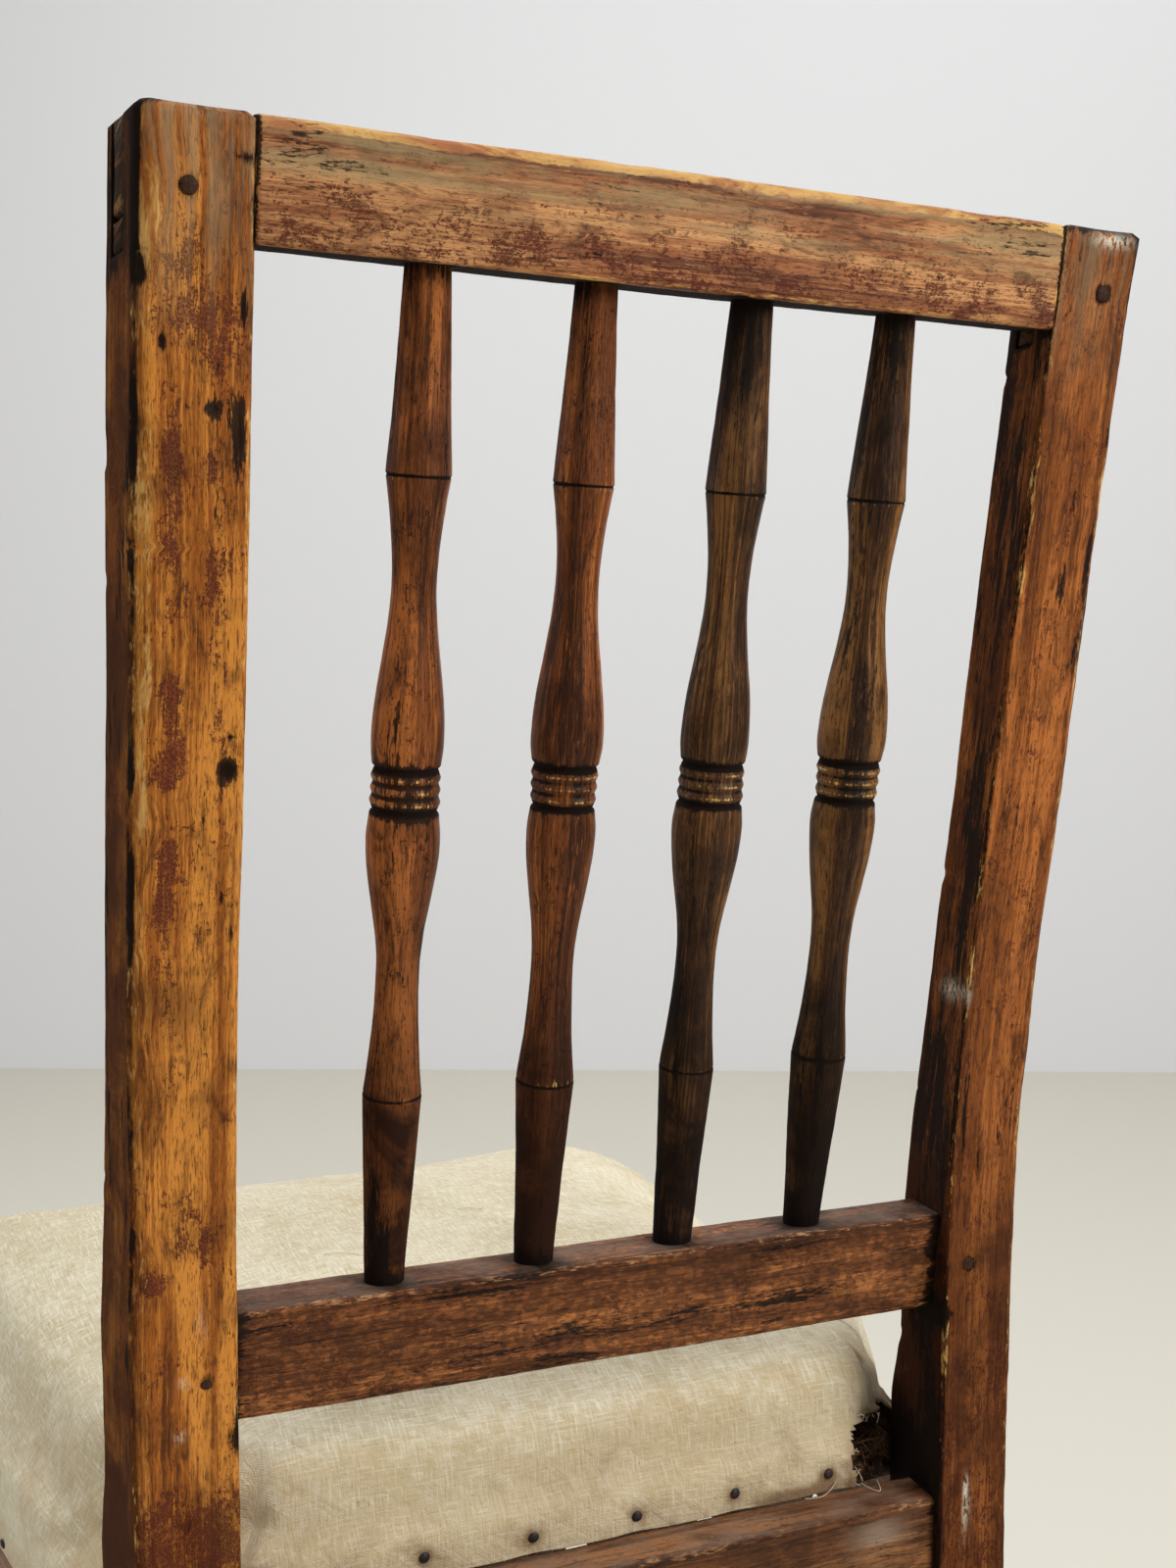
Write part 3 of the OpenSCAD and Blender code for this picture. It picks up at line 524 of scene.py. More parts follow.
# %% Iron
m_iron, t, p = new_material("iron")
obj = N(t, "ShaderNodeTexCoord").outputs["Object"]
rust = cloud(t, obj, 700.0, 3, 0.6)
t.links.new(mix(t, step(t, rust, 0.5, 0.65), srgb(44, 46, 52), srgb(88, 52, 34)), p.inputs["Base Color"])
t.links.new(step(t, rust, 0.35, 0.7, 0.4, 0.8), p.inputs["Roughness"])
p.inputs["Metallic"].default_value = 0.6
t.links.new(N(t, "ShaderNodeBump", {"Strength": 0.5, "Distance": 0.0002, "Height": rust}).outputs[0],
            p.inputs["Normal"])

print("iron ready")

# %% [markdown]
# ### Cloth, stuffing and thread
# Calico, jute webbing and hessian are one recipe, each with its own pitch of weave. Stuffing and thread
# are plain noises drawn out like fibres.

# %% Cloth
def cloth(name, pale, deep, stain_and_shade, pitch, coarse, specks=0.5, bump=0.5, crumple=1.0):
    m, t, p = new_material(name)
    uv = N(t, "ShaderNodeTexCoord").outputs["UV"]
    obj = N(t, "ShaderNodeTexCoord").outputs["Object"]
    weave = use(t, g_weave, {"Vector": uv, "Pitch": pitch})
    soft = cloud(t, obj, 16.0, 5, 0.65, 0.3)
    col = mix(t, step(t, soft, 0.38, 0.64), pale, deep)
    col = mix(t, step(t, weave["Thread"], 0.49, 0.62, 0.0, coarse), col, deep)
    thread = grainy(t, uv, 90, 900, 3, 0.6)
    woof = grainy(t, uv, 900, 90, 3, 0.6)
    col = mix(t, step(t, M(t, "MAXIMUM", thread, woof), 0.53, 0.68, 0.0, 0.5), col, stain_and_shade)
    col = mix(t, step(t, M(t, "MINIMUM", thread, woof), 0.47, 0.36, 0.0, 0.5), col, (0.92, 0.88, 0.76, 1.0))
    blot = cloud(t, obj, 46.0, 6, 0.72, 0.5)
    # The grime value holds real stains and painted shade; both darken the cloth towards the stain colour
    # and brown.
    dirt_and_shade = add(t, mul(t, attr(t, "grime"), 0.62), mul(t, blot, 0.75))
    col = mix(t, step(t, dirt_and_shade, 0.40, 0.62, 0.0, 0.45), col, stain_and_shade)
    col = mix(t, step(t, dirt_and_shade, 0.62, 1.0, 0.0, 0.85), col, srgb(120, 88, 56))
    fly = cloud(t, obj, 430.0, 3, 0.6)
    col = mix(t, mul(t, step(t, fly, 0.69, 0.73), specks), col, srgb(96, 66, 44))
    t.links.new(col, p.inputs["Base Color"])
    p.inputs["Roughness"].default_value = 0.95
    p.inputs["Specular IOR Level"].default_value = 0.15
    p.inputs["Sheen Weight"].default_value = 0.15
    bias = stretch(t, N(t, "ShaderNodeMapping", {"Vector": uv, "Rotation": (0.0, 0.0, 0.7)}).outputs[0],
                   (26, 130, 1))
    folds = cloud(t, bias, 1.0, 4, 0.6, 0.6)
    h = add(t, mul(t, weave["Height"], 0.5), mul(t, cloud(t, obj, 150.0, 4, 0.65), 1.4 * crumple))
    h = add(t, h, mul(t, add(t, thread, woof), 1.1))
    h = add(t, h, mul(t, folds, 3.5 * crumple))
    t.links.new(N(t, "ShaderNodeBump", {"Strength": bump, "Distance": 0.0005, "Height": h}).outputs[0],
                p.inputs["Normal"])
    return m


m_calico = cloth("calico", srgb(222, 213, 186), srgb(208, 196, 164), srgb(188, 160, 114), 0.0006, 0.35,
                 bump=0.75)
m_webbing = cloth("webbing", srgb(172, 148, 108), srgb(140, 116, 80), srgb(104, 78, 52), 0.0016, 0.5)
m_hessian = cloth("hessian", srgb(168, 142, 98), srgb(132, 106, 70), srgb(100, 76, 50), 0.0022, 0.6,
                  bump=0.9)

m_stuffing, t, p = new_material("stuffing")
obj = N(t, "ShaderNodeTexCoord").outputs["Object"]
hair = cloud(t, stretch(t, obj, (900, 260, 500)), 1.0, 4, 0.7, 1.5)
t.links.new(mix(t, step(t, hair, 0.35, 0.65), srgb(44, 28, 20), srgb(134, 92, 56)), p.inputs["Base Color"])
p.inputs["Roughness"].default_value = 0.95
t.links.new(N(t, "ShaderNodeBump", {"Strength": 1.0, "Distance": 0.002, "Height": hair}).outputs[0],
            p.inputs["Normal"])

m_thread, t, p = new_material("thread")
obj = N(t, "ShaderNodeTexCoord").outputs["Object"]
t.links.new(mix(t, cloud(t, obj, 300.0), srgb(226, 216, 190), srgb(184, 164, 128)), p.inputs["Base Color"])
p.inputs["Roughness"].default_value = 0.9
print("finishes:", len(bpy.data.materials))

# %% [markdown]
# ## The chair's own measures
# These repeat the model's main sizes, in metres: the lean of the back, the bend of the posts, and the
# spread of the sides. Each wooden piece is then built on them, a hair softer at its arrises.

# %% Measures
BACK, BEND, TOP, SEAT = 0.17796, 0.557, 0.925, 0.385
LEAN, FLARE = math.radians(9.5), math.radians(6.5)
RAKE, SPLAY = math.tan(LEAN), math.tan(FLARE)
BEND_R = 1.2
TOP_Y = BACK + (TOP - BEND) * RAKE
POST_W, POST_SEAT_D, HALF = 0.038, 0.042, 0.195
FRONT, POST_FRONT = -0.23804, 0.12796
RAIL_TOP, RAIL_LOW, RAIL_T = 0.373, 0.319, 0.026
FOOT_W, LEG_W = 0.026, 0.036
KICK_HIGH, KICK_LOW, LEAN_FROM = 0.313, 0.268, 0.5092
STRETCH_Z = 0.140


def rear_y(z):
    z = np.asarray(z, float)
    start = BEND - BEND_R * math.tan(LEAN / 2)
    a = np.arcsin(np.clip((z - start) / BEND_R, 0, math.sin(LEAN)))
    y = BACK + BEND_R * (1 - np.cos(a))
    y = np.where(z > start + BEND_R * math.sin(LEAN), BACK + (z - BEND) * RAKE, y)
    return np.where(z < KICK_HIGH, BACK + 0.016 * (1 - z / KICK_HIGH), y)


def front_y(z):
    z = np.asarray(z, float)
    y = BACK - POST_SEAT_D + (z - LEAN_FROM) * (TOP_Y - 0.034 - BACK + POST_SEAT_D) / (TOP - LEAN_FROM)
    y = np.where(z < LEAN_FROM, BACK - POST_SEAT_D, y)
    y = np.where(z < SEAT + 0.072, POST_FRONT + 0.008 * smooth(z, SEAT + 0.030, SEAT + 0.072), y)
    kick = smooth(z, KICK_LOW, KICK_HIGH)
    y = np.where(z < KICK_HIGH, BACK - 0.038 + (POST_FRONT - BACK + 0.038) * kick, y)
    return np.where(z < KICK_LOW, BACK - 0.016 + (z / KICK_LOW) * (-0.038 + 0.016), y)


def rake_y(z):
    return BACK + (np.asarray(z, float) - BEND) * RAKE


def outer_x(y, z=0.0):
    return HALF + (BACK + np.maximum(np.asarray(z, float) - BEND, 0) * RAKE - y) * SPLAY


def inner_x(y, z=0.0):
    return outer_x(y, z) - POST_W


def quad(points):
    return np.stack([np.stack(np.broadcast_arrays(*p), -1) for p in points], 1)


def near(V, centre, size):
    return np.exp(-(((V - np.array(centre)) / np.array(size)) ** 2).sum(-1))


made = {}


def keep(ob, slot, *names):
    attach(ob, "root")
    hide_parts(*names)
    made[ob.name] = len(ob.data.polygons)
    return ob


print("top of the lean:", round(TOP_Y, 4))

# %% [markdown]
# ## Back posts
# A post leans above its bend, stands upright at the seat and kicks back a little at the foot. Paint
# remnants sit in broken columns on the rear face, with more of them low down, and the outer rear arris
# is a wide worn chamfer. An open slot in the top takes the rail's tenon.

# %% Placed marks
def marks(V, rows):
    return sum(a * near(V, (x, float(rear_y(z)), z), (w, 0.02, h)) for x, z, w, h, a in rows)


flakes_left = [(0.1694, 0.8485, 0.004, 0.010, 0.8), (0.1830, 0.8225, 0.003, 0.009, 1.0),
               (0.1704, 0.8190, 0.003, 0.007, 0.9), (0.1827, 0.7450, 0.0030, 0.004, 1.1),
               (0.1815, 0.7215, 0.0045, 0.006, 1.2), (0.1848, 0.7155, 0.0032, 0.004, 1.2),
               (0.1835, 0.6880, 0.0042, 0.009, 1.1), (0.1761, 0.6825, 0.0030, 0.006, 0.9),
               (0.1845, 0.6700, 0.0032, 0.012, 0.9), (0.1834, 0.6350, 0.0040, 0.012, 0.5),
               (0.1687, 0.5455, 0.0035, 0.009, 1.0), (0.1739, 0.5595, 0.003, 0.005, 1.0),
               (0.1778, 0.5490, 0.0035, 0.006, 1.0), (0.1865, 0.5330, 0.0045, 0.004, 1.0),
               (0.1750, 0.8700, 0.0130, 0.020, 0.8), (0.1830, 0.7900, 0.0030, 0.010, 0.5),
               (0.1700, 0.7800, 0.0030, 0.012, 0.5)]
black_left = [(0.1925, 0.8760, 0.0016, 0.006, 1.0), (0.1865, 0.8545, 0.0019, 0.0042, 0.95),
              (0.1701, 0.8350, 0.0030, 0.0022, 1.0), (0.1792, 0.8355, 0.0016, 0.0014, 0.7),
              (0.1610, 0.8660, 0.0013, 0.008, 0.9), (0.1612, 0.8300, 0.0020, 0.014, 0.75),
              (0.1880, 0.9135, 0.0040, 0.0025, 0.4), (0.1613, 0.9110, 0.0038, 0.003, 0.8),
              (0.1580, 0.8950, 0.0020, 0.012, 0.5), (0.1631, 0.7180, 0.0024, 0.0032, 1.1),
              (0.1645, 0.7185, 0.0060, 0.010, 0.40), (0.1620, 0.7295, 0.0018, 0.002, 0.8),
              (0.1606, 0.6610, 0.0013, 0.006, 0.9), (0.1645, 0.6735, 0.0012, 0.004, 0.7),
              (0.1656, 0.6240, 0.0011, 0.0011, 0.9), (0.1600, 0.6120, 0.0025, 0.010, 0.5),
              (0.1770, 0.4400, 0.0040, 0.012, 0.5), (0.1590, 0.4900, 0.003, 0.03, 0.3)]
black_right = [(0.1919, 0.8480, 0.0022, 0.010, 0.7), (0.1790, 0.8250, 0.0020, 0.008, 0.6),
               (0.1780, 0.7900, 0.0016, 0.009, 0.8), (0.1905, 0.8000, 0.0018, 0.014, 0.8),
               (0.1890, 0.7600, 0.0020, 0.012, 0.5), (0.1700, 0.5400, 0.0020, 0.010, 0.6),
               (0.1620, 0.5600, 0.0020, 0.020, 0.5), (0.1860, 0.5900, 0.0015, 0.014, 0.5),
               (0.1800, 0.4700, 0.0020, 0.008, 0.4)]
gold_right = [(0.1600, 0.8100, 0.0020, 0.030, 1.0), (0.1600, 0.6300, 0.0020, 0.020, 1.2),
              (0.1940, 0.8200, 0.0020, 0.012, 1.0)]
gold_left = [(0.1893, 0.8905, 0.0032, 0.013, 1.3), (0.1904, 0.7440, 0.0018, 0.005, 0.7),
             (0.1921, 0.7040, 0.0024, 0.009, 0.9)]

print("placed marks:", len(flakes_left) + len(black_left) + len(black_right))

# %% A post
def post(name, mirror, material, seed, dents, chamfer):
    z = np.linspace(0, TOP, 464)
    yr, yf = rear_y(z), front_y(z)
    C = quad([(inner_x(yr, z), yr, z), (outer_x(yr, z), yr, z), (outer_x(yf, z), yf, z),
              (inner_x(yf, z), yf, z)])
    soft = np.stack([0.0017 + 0 * z, chamfer * (1 - 0.5 * smooth(z, 0.90, 0.925)), 0.0026 + 0 * z,
                     0.0022 + 0 * z], 1)

    def paint(V):
        u = (V[..., 0] - 0.157) / 0.038
        z = V[..., 2]
        col = hump(u, 0.26, 0.10) * smooth(z, 0.68, 0.76) + hump(u, 0.68, 0.11)
        broken = 0.75 + 0.5 * noise(V * np.array([0.2, 0.2, 1.0]), 0.035, seed + 60)
        rear = V[..., 1] > rear_y(z) - 0.004
        body = smooth(z, 0.88, 0.80) * smooth(z, 0.435, 0.47) * (0.35 + 0.65 * smooth(z, 0.60, 0.68))
        foot = smooth(z, 0.462, 0.44)
        if mirror:
            return np.where(rear, 0.30 + 0.25 * foot, 0.25)
        return np.where(rear, 0.10 + 0.34 * col * broken * body + 0.55 * foot
                        + 0.62 * marks(V, flakes_left), 0.25)

    def grime(V):
        g = (0.8 * near(V, (0.157, 0.17, 0.471), (0.005, 0.03, 0.006))
             + 0.7 * near(V, (0.160, 0.14, 0.392), (0.02, 0.02, 0.02)))
        y, z = V[..., 1], V[..., 2]
        inner = V[..., 0] < inner_x(y, z) + 0.0012
        outer = V[..., 0] > outer_x(y, z) - 0.0012
        rear = y > rear_y(z) - 0.006
        edge = hump(V[..., 0] - outer_x(y, z), -0.0008, 0.0012) * rear
        crack = smooth(noise(V * np.array([1.0, 1.0, 0.10]), 0.0022, seed + 70), 0.35, 0.7)
        slot = outer * smooth(z, 0.872, 0.882) * 0.35
        for x, h, w in ((0.179, 0.901, 0.0046), (0.169, 0.4935, 0.0042)):
            g = g + 0.75 * np.exp(-((np.hypot(V[..., 0] - x, z - h) / w) ** 4)) * rear
        # Painted shade: the inner and outer faces are painted darker where they turn from the lamps, the
        # outer ones also with real cracks; the foot gets real dirt.
        g = (g + inner * (0.40 if mirror else 0.16) + outer * (0.22 + 0.38 * crack) + slot
             + 0.16 * smooth(z, 0.12, 0.0) * (0.6 + noise(V, 0.02, seed + 73)))
        g = (g + edge * (0.45 + 0.4 * noise(V, 0.02, seed + 71)) * smooth(z, 0.50, 0.62)
             + 0.5 * edge * smooth(z, 0.87, 0.90))
        g = g + 0.7 * smooth(z, 0.9215, 0.9245) * (0.5 + noise(V, 0.006, seed + 72))
        joint = hump(V[..., 0], inner_x(y, z), 0.0006) * smooth(z, 0.883, 0.886) * rear
        if mirror:
            return g + 0.8 * joint + marks(V, black_right) + 0.4 * edge * smooth(z, 0.5, 0.4)
        return g + 0.8 * joint + marks(V, black_left)

    # Partly real bloom, partly a painted sheen: a pale haze over the top of the rear face.
    def bloom(V):
        return smooth(V[..., 2], 0.845, 0.915) * (V[..., 1] > rear_y(V[..., 2]) - 0.006)

    def pale(V):
        if not mirror:
            return marks(V, [(0.1771, 0.4945, 0.0016, 0.0011, 0.9), (0.1789, 0.4745, 0.0016, 0.0011, 0.9),
                             (0.1708, 0.5165, 0.0008, 0.006, 0.5), (0.1698, 0.8352, 0.0005, 0.0006, 0.7)])
        g = marks(V, [(0.1714, 0.3800, 0.0010, 0.009, 1.3), (0.1706, 0.3900, 0.0008, 0.004, 0.9),
                      (0.1589, 0.6165, 0.0010, 0.004, 0.9)])
        return g + 1.1 * near(V, (0.181, 0.2385, 0.9205), (0.008, 0.01, 0.0022))

    def rub(V):
        return 0.55 * marks(V, gold_right) if mirror else marks(V, gold_left)

    # Painted shade: the right post's inner face and the left post's outer face, turned from the lamps, and
    # the lower part of each post are painted darker.
    def shade(V):
        y, z = V[..., 1], V[..., 2]
        if mirror:
            return 0.10 + 0.68 * smooth(z, 0.68, 0.44) + 0.65 * (V[..., 0] < inner_x(y, z) + 0.0015)
        side = V[..., 0] > outer_x(y, z) - 0.0015
        return 0.03 + 0.50 * smooth(z, 0.47, 0.41) + 0.95 * side

    ob = bar(name, C, soft, material, seed, 15, 0.35, dents=dents, paint=paint, grime=grime, mirror=mirror,
             end=0.0028, bloom=bloom, pale=pale, rub=rub, shade=shade)
    cut_slot(ob, -1 if mirror else 1)
    return ob


print("post ready")

# %% The slot in its top
def cut_slot(ob, sx):
    """The open slot in a post's top, with dirt on its walls."""
    slot = bmesh.new()
    x0, x1 = 0.144, 0.22
    rows = [(0.8829, rake_y(0.8829) - 0.026), (0.94, rake_y(0.94) - 0.026)]
    corners = ((x0, -0.0003), (x1, -0.0003), (x1, 0.0123), (x0, 0.0123))
    vs = [slot.verts.new((sx * x, y + dy, z)) for z, y in rows for x, dy in corners]
    for f in ((0, 1, 2, 3), (4, 5, 6, 7), (0, 1, 5, 4), (1, 2, 6, 5), (2, 3, 7, 6), (3, 0, 4, 7)):
        slot.faces.new([vs[k] for k in f])
    bmesh.ops.recalc_face_normals(slot, faces=slot.faces)
    me = bpy.data.meshes.new("slot")
    slot.to_mesh(me)
    slot.free()
    cutter = new_object("slot", me)
    mod = ob.modifiers.new("slot", "BOOLEAN")
    mod.object, mod.operation, mod.solver = cutter, "DIFFERENCE", "EXACT"
    bake(ob)
    bpy.data.objects.remove(cutter)
    for v, g in zip(ob.data.vertices, ob.data.attributes["grime"].data):
        deep = v.co.y - (float(rake_y(v.co.z)) - 0.026)
        if v.co.z > 0.8826 and -0.0006 < deep < 0.0126:
            g.value = 0.9


print("slot ready")

# %% Both posts
left_dents = [((0.1865, 0.2277, 0.8545), (0.0022, 0.01, 0.005), 0.0008),
              ((0.1701, 0.2245, 0.8350), (0.0030, 0.01, 0.0024), 0.0012),
              ((0.1631, 0.2049, 0.7180), (0.0026, 0.01, 0.0035), 0.0012),
              ((0.1690, 0.1850, 0.600), (0.0030, 0.01, 0.006), 0.0008),
              ((0.1760, 0.1780, 0.448), (0.0030, 0.01, 0.003), 0.0016),
              ((0.1770, 0.1780, 0.432), (0.0022, 0.01, 0.0026), 0.0014),
              ((0.1820, 0.1780, 0.444), (0.0013, 0.01, 0.010), 0.0013),
              ((0.1673, 0.1780, 0.453), (0.0013, 0.01, 0.0018), 0.001),
              ((0.1930, 0.2310, 0.876), (0.004, 0.006, 0.009), 0.0012),
              ((0.1960, 0.2200, 0.800), (0.004, 0.006, 0.010), 0.0008),
              ((0.1950, 0.2080, 0.700), (0.005, 0.006, 0.012), 0.0012),
              ((0.1960, 0.1900, 0.62), (0.004, 0.006, 0.006), 0.0008)]
right_dents = [((0.1800, 0.2000, 0.69), (0.002, 0.01, 0.006), 0.001),
               ((0.1585, 0.1880, 0.617), (0.004, 0.006, 0.005), 0.0010),
               ((0.1580, 0.1790, 0.535), (0.003, 0.006, 0.004), 0.0012),
               ((0.1900, 0.2350, 0.90), (0.006, 0.006, 0.01), 0.001)]
keep(post("post_left", False, m_post, 3, left_dents, 0.0052), "post_wood", "back_post_left")
keep(post("post_right", True, m_post_r, 11, right_dents, 0.0036), "post_wood", "back_post_right")
print("posts:", made)

# %% [markdown]
# ## Rails of the back
# The top rail runs into both posts with a through tenon, and a wedge sits under each tenon. The mid rail
# is a plain leaning bar. Grime gathers round the feet of the spindles.

# %% Top rail
def across(name, faces, material, slot, replaced, seed, soft, lean=True, n=200, **extra):
    """faces: (y, z) of rear top, rear bottom, front bottom and front top."""
    t = np.linspace(-1, 1, n)
    C = quad([(t * (inner_x(y, z if lean else 0.0) + 0.0006), y + 0 * t, z + 0 * t) for y, z in faces])
    return keep(bar(name, C, soft, material, seed, end=0.0006, **extra), slot, replaced)


spindle_x = [0.0945, 0.0315, -0.0315, -0.0945]


def feet_grime(V):
    g = (0.16 + 0.5 * near(V, (0.07, 0.17, 0.511), (0.035, 0.02, 0.0025))
         + 0.42 * near(V, (-0.092, 0.17, 0.4868), (0.036, 0.02, 0.0034)))
    g = (g + 0.6 * near(V, (0.025, 0.17, 0.4745), (0.014, 0.02, 0.002))
         + 0.42 * near(V, (-0.076, 0.17, 0.509), (0.022, 0.02, 0.004)))
    for x in spindle_x:
        g = g + 0.75 * near(V, (x, 0.1576, 0.516), (0.011, 0.012, 0.004))
    return g + 0.45 * smooth(np.abs(V[..., 0]), 0.150, 0.157)


def top_grime(V):
    zone = smooth(V[..., 2], 0.925, 0.905)
    g = (0.6 * smooth(np.abs(V[..., 0]), 0.1560, 0.1572) + 0.10 * (1 - zone)
         + 0.10 * smooth(V[..., 0], -0.02, 0.15))
    # Painted shade: the underside of the rail, where shade falls, is painted dark.
    under = smooth(V[..., 1] - rake_y(V[..., 2]), -0.0022, -0.0045)
    g = g + 0.9 * under * smooth(V[..., 2], 0.8935, 0.8905)
    for x in spindle_x:
        g = g + 0.5 * near(V, (x, 0.2175, 0.886), (0.010, 0.012, 0.004))
    return g


def top_paint(V):
    return 0.22 + 0.28 * smooth(V[..., 2], 0.912, 0.895)


# Painted shade: darker towards the rail's +X end, most of all low down, and a little towards its -X end.
def top_shade(V):
    low_down = 0.4 + 0.6 * smooth(V[..., 2], 0.915, 0.90)
    return 0.05 + 0.45 * smooth(V[..., 0], 0.0, 0.14) * low_down + 0.2 * smooth(-V[..., 0], 0.06, 0.13)


tb = 0.886
tf = tb + 0.0046
# The upper part of the top rail gets a pale haze, partly real bloom and partly a painted sheen.
across("top_rail", [(rake_y(TOP), TOP), (rake_y(tb), tb), (rake_y(tf) - 0.031, tf),
                    (rake_y(TOP) - 0.031, TOP)], m_top, "rail_wood", "top_rail", 5,
       (0.0030, 0.0014, 0.0014, 0.003), sharp=0.6, grime=top_grime,
       bloom=lambda V: smooth(V[..., 2], 0.898, 0.912), rub=lambda V: -0.45 * (V[..., 2] < 0.895),
       paint=top_paint, shade=top_shade, dents=[((-0.05, 0.2360, 0.905), (0.006, 0.01, 0.0016), 0.0008),
                                                ((0.09, 0.2360, 0.912), (0.008, 0.01, 0.0012), 0.0007),
                                                ((-0.02, 0.229, 0.886), (0.006, 0.004, 0.003), 0.0010),
                                                ((0.03, TOP_Y, 0.925), (0.012, 0.004, 0.003), 0.0009),
                                                ((-0.12, TOP_Y, 0.925), (0.02, 0.004, 0.003), 0.0008)])

print("top rail made:", list(made)[-1])

# %% Mid rail and rear seat rail
def mid_y(z):
    return BACK - 0.009 + (z - 0.4935) * RAKE


ml, mh = 0.471, 0.516
across("mid_rail", [(mid_y(mh), mh), (mid_y(ml), ml), (mid_y(ml) - 0.029, ml), (mid_y(mh) - 0.029, mh)],
       m_mid, "rail_wood", "mid_rail", 6, (0.0022, 0.0022, 0.002, 0.0026), lean=False, grime=feet_grime,
       paint=lambda V: 0.5 + 0.3 * smooth(V[..., 0], 0.05, 0.14),
       dents=[((0.128, 0.168, 0.486), (0.010, 0.01, 0.0012), 0.001),
              ((0.116, 0.168, 0.482), (0.007, 0.01, 0.001), 0.0009),
              ((-0.10, 0.1728, 0.516), (0.006, 0.004, 0.003), 0.0012)])


def seat_rail_bloom(V):
    return 0.9 * near(V, (-0.128, 0.173, 0.372), (0.013, 0.004, 0.009)) + 0.15 * (V[..., 1] < 0.1725)


ry, rf = 0.17296, 0.14796
# Painted shade: the rear face of the rear seat rail is painted darker.
across("rear_seat_rail", [(ry, SEAT), (ry, 0.325), (rf, 0.325), (rf, SEAT)], m_seat, "seat_rail_wood",
       "rear_seat_rail", 7, (0.0024, 0.002, 0.0015, 0.0016), lean=False, paint=lambda V: 0.4,
       bloom=seat_rail_bloom, shade=lambda V: 0.30 * (V[..., 1] > 0.172),
       grime=lambda V: 0.4 * smooth(np.abs(V[..., 0]), 0.147, 0.157) + 0.2 * (V[..., 1] < 0.15))

print("rails made:", list(made)[-2:])

# %% Tenons and wedges
for sx, side in ((1, "left"), (-1, "right")):
    t = np.linspace(0, 1, 34)
    rows = []
    for dy, z in ((0.0118, 0.9246), (0.0118, 0.8945), (0.0002, 0.8945), (0.0002, 0.9246)):
        y = rake_y(z) - 0.026 + dy
        rows.append((0.1445 + t * (outer_x(y, z) - 0.0006 - 0.1445), y + 0 * t, z - 0.0003 + 0 * t))
    tenon = bar("tenon_" + side, quad(rows), 0.0006, m_top, 21 + sx, 6, rough=0.0001, mirror=sx < 0,
                grime=lambda V: 0.1 + 0.5 * smooth(V[..., 0], 0.19, 0.195))
    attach(tenon, "root")
    rows = []
    for dy, z in ((0.012, 0.8940), (0.012, 0.8834), (0.0, 0.8834), (0.0, 0.8940)):
        y = rake_y(z) - 0.026 + dy
        xi = float(inner_x(y, z)) + 0.0008
        rows.append((xi + t * (outer_x(y, z) - 0.0003 - xi), y + 0 * t, z + 0 * t))
    keep(bar("wedge_" + side, quad(rows), 0.0005, m_raw, 31 + sx, 4, rough=0.0001, mirror=sx < 0,
             grime=lambda V: 0.45), "rail_wood", "tenon_wedges")
print("rails:", made)

# %% [markdown]
# ## Spindles
# Each spindle swells twice, with a grooved ring between the swellings and a sharp ridge near each end.
# Two of them are redder and two are darker, and the ridges and rings are rubbed through to pale wood.

# %% The spindle's profile
form = [(0, 15.6), (0.207, 23), (0.335, 16), (0.473, 27), (0.506, 24.8), (0.534, 24.8), (0.565, 27),
        (0.72, 16), (0.815, 23), (1, 15.6)]


RING_LOW, RING_HIGH = 0.500, 0.541


def ring_share(s):
    """1 on the grooved ring, 0 elsewhere."""
    return smooth(s, RING_LOW, 0.505) * smooth(s, RING_HIGH, 0.536)


def ring_wave(s):
    """Three waves along the ring: 1 on a ridge, -1 in a groove."""
    return np.cos((s - 0.5205) / 0.036 * 2 * math.pi * 3)


def spindle_profile(f):
    zs, rs = [], []
    for k in range(len(f) - 1):
        (a, da), (b, db) = f[k], f[k + 1]
        for s in np.linspace(0, 1, max(5, int((b - a) * 190)), endpoint=False):
            if k in (0, 7):
                e = 1 - math.cos(math.pi / 2 * s)
            elif k in (1, 8):
                e = math.sin(math.pi / 2 * s)
            else:
                e = (1 - math.cos(math.pi * s)) / 2
            if k in (0, 8):
                e = 0.72 * s + 0.28 * e
            zs.append(a + (b - a) * s)
            rs.append((da + (db - da) * e) / 2)
    zs, rs = zs + [1.0], rs + [7.8]
    fine = np.unique(np.concatenate([np.linspace(0, 1, 300), np.linspace(0.495, 0.545, 60),
                                     0.207 + np.linspace(-0.004, 0.004, 13),
                                     0.815 + np.linspace(-0.004, 0.004, 13)]))
    r = np.interp(fine, zs, rs)
    r = r + ring_share(fine) * 0.35 * ring_wave(fine)
    for g, w, d in ((RING_LOW, 0.0022, 0.9), (RING_HIGH, 0.0022, 0.9), (0.209, 0.0012, 0.35),
                    (0.8135, 0.0012, 0.35)):
        r = r - d * hump(fine, g, w)
    return fine, np.clip(r, 0.3, None) / 1000


def spindle_wear(s):
    w = 0.25 + 0 * s
    for g, width, a in ((0.211, 0.008, 0.6), (0.811, 0.008, 0.6), (0.47, 0.05, 0.3), (0.57, 0.05, 0.3)):
        w = w + a * hump(s, g, width)
    return w + ring_share(s) * 0.60 * np.clip(ring_wave(s), 0, 1)


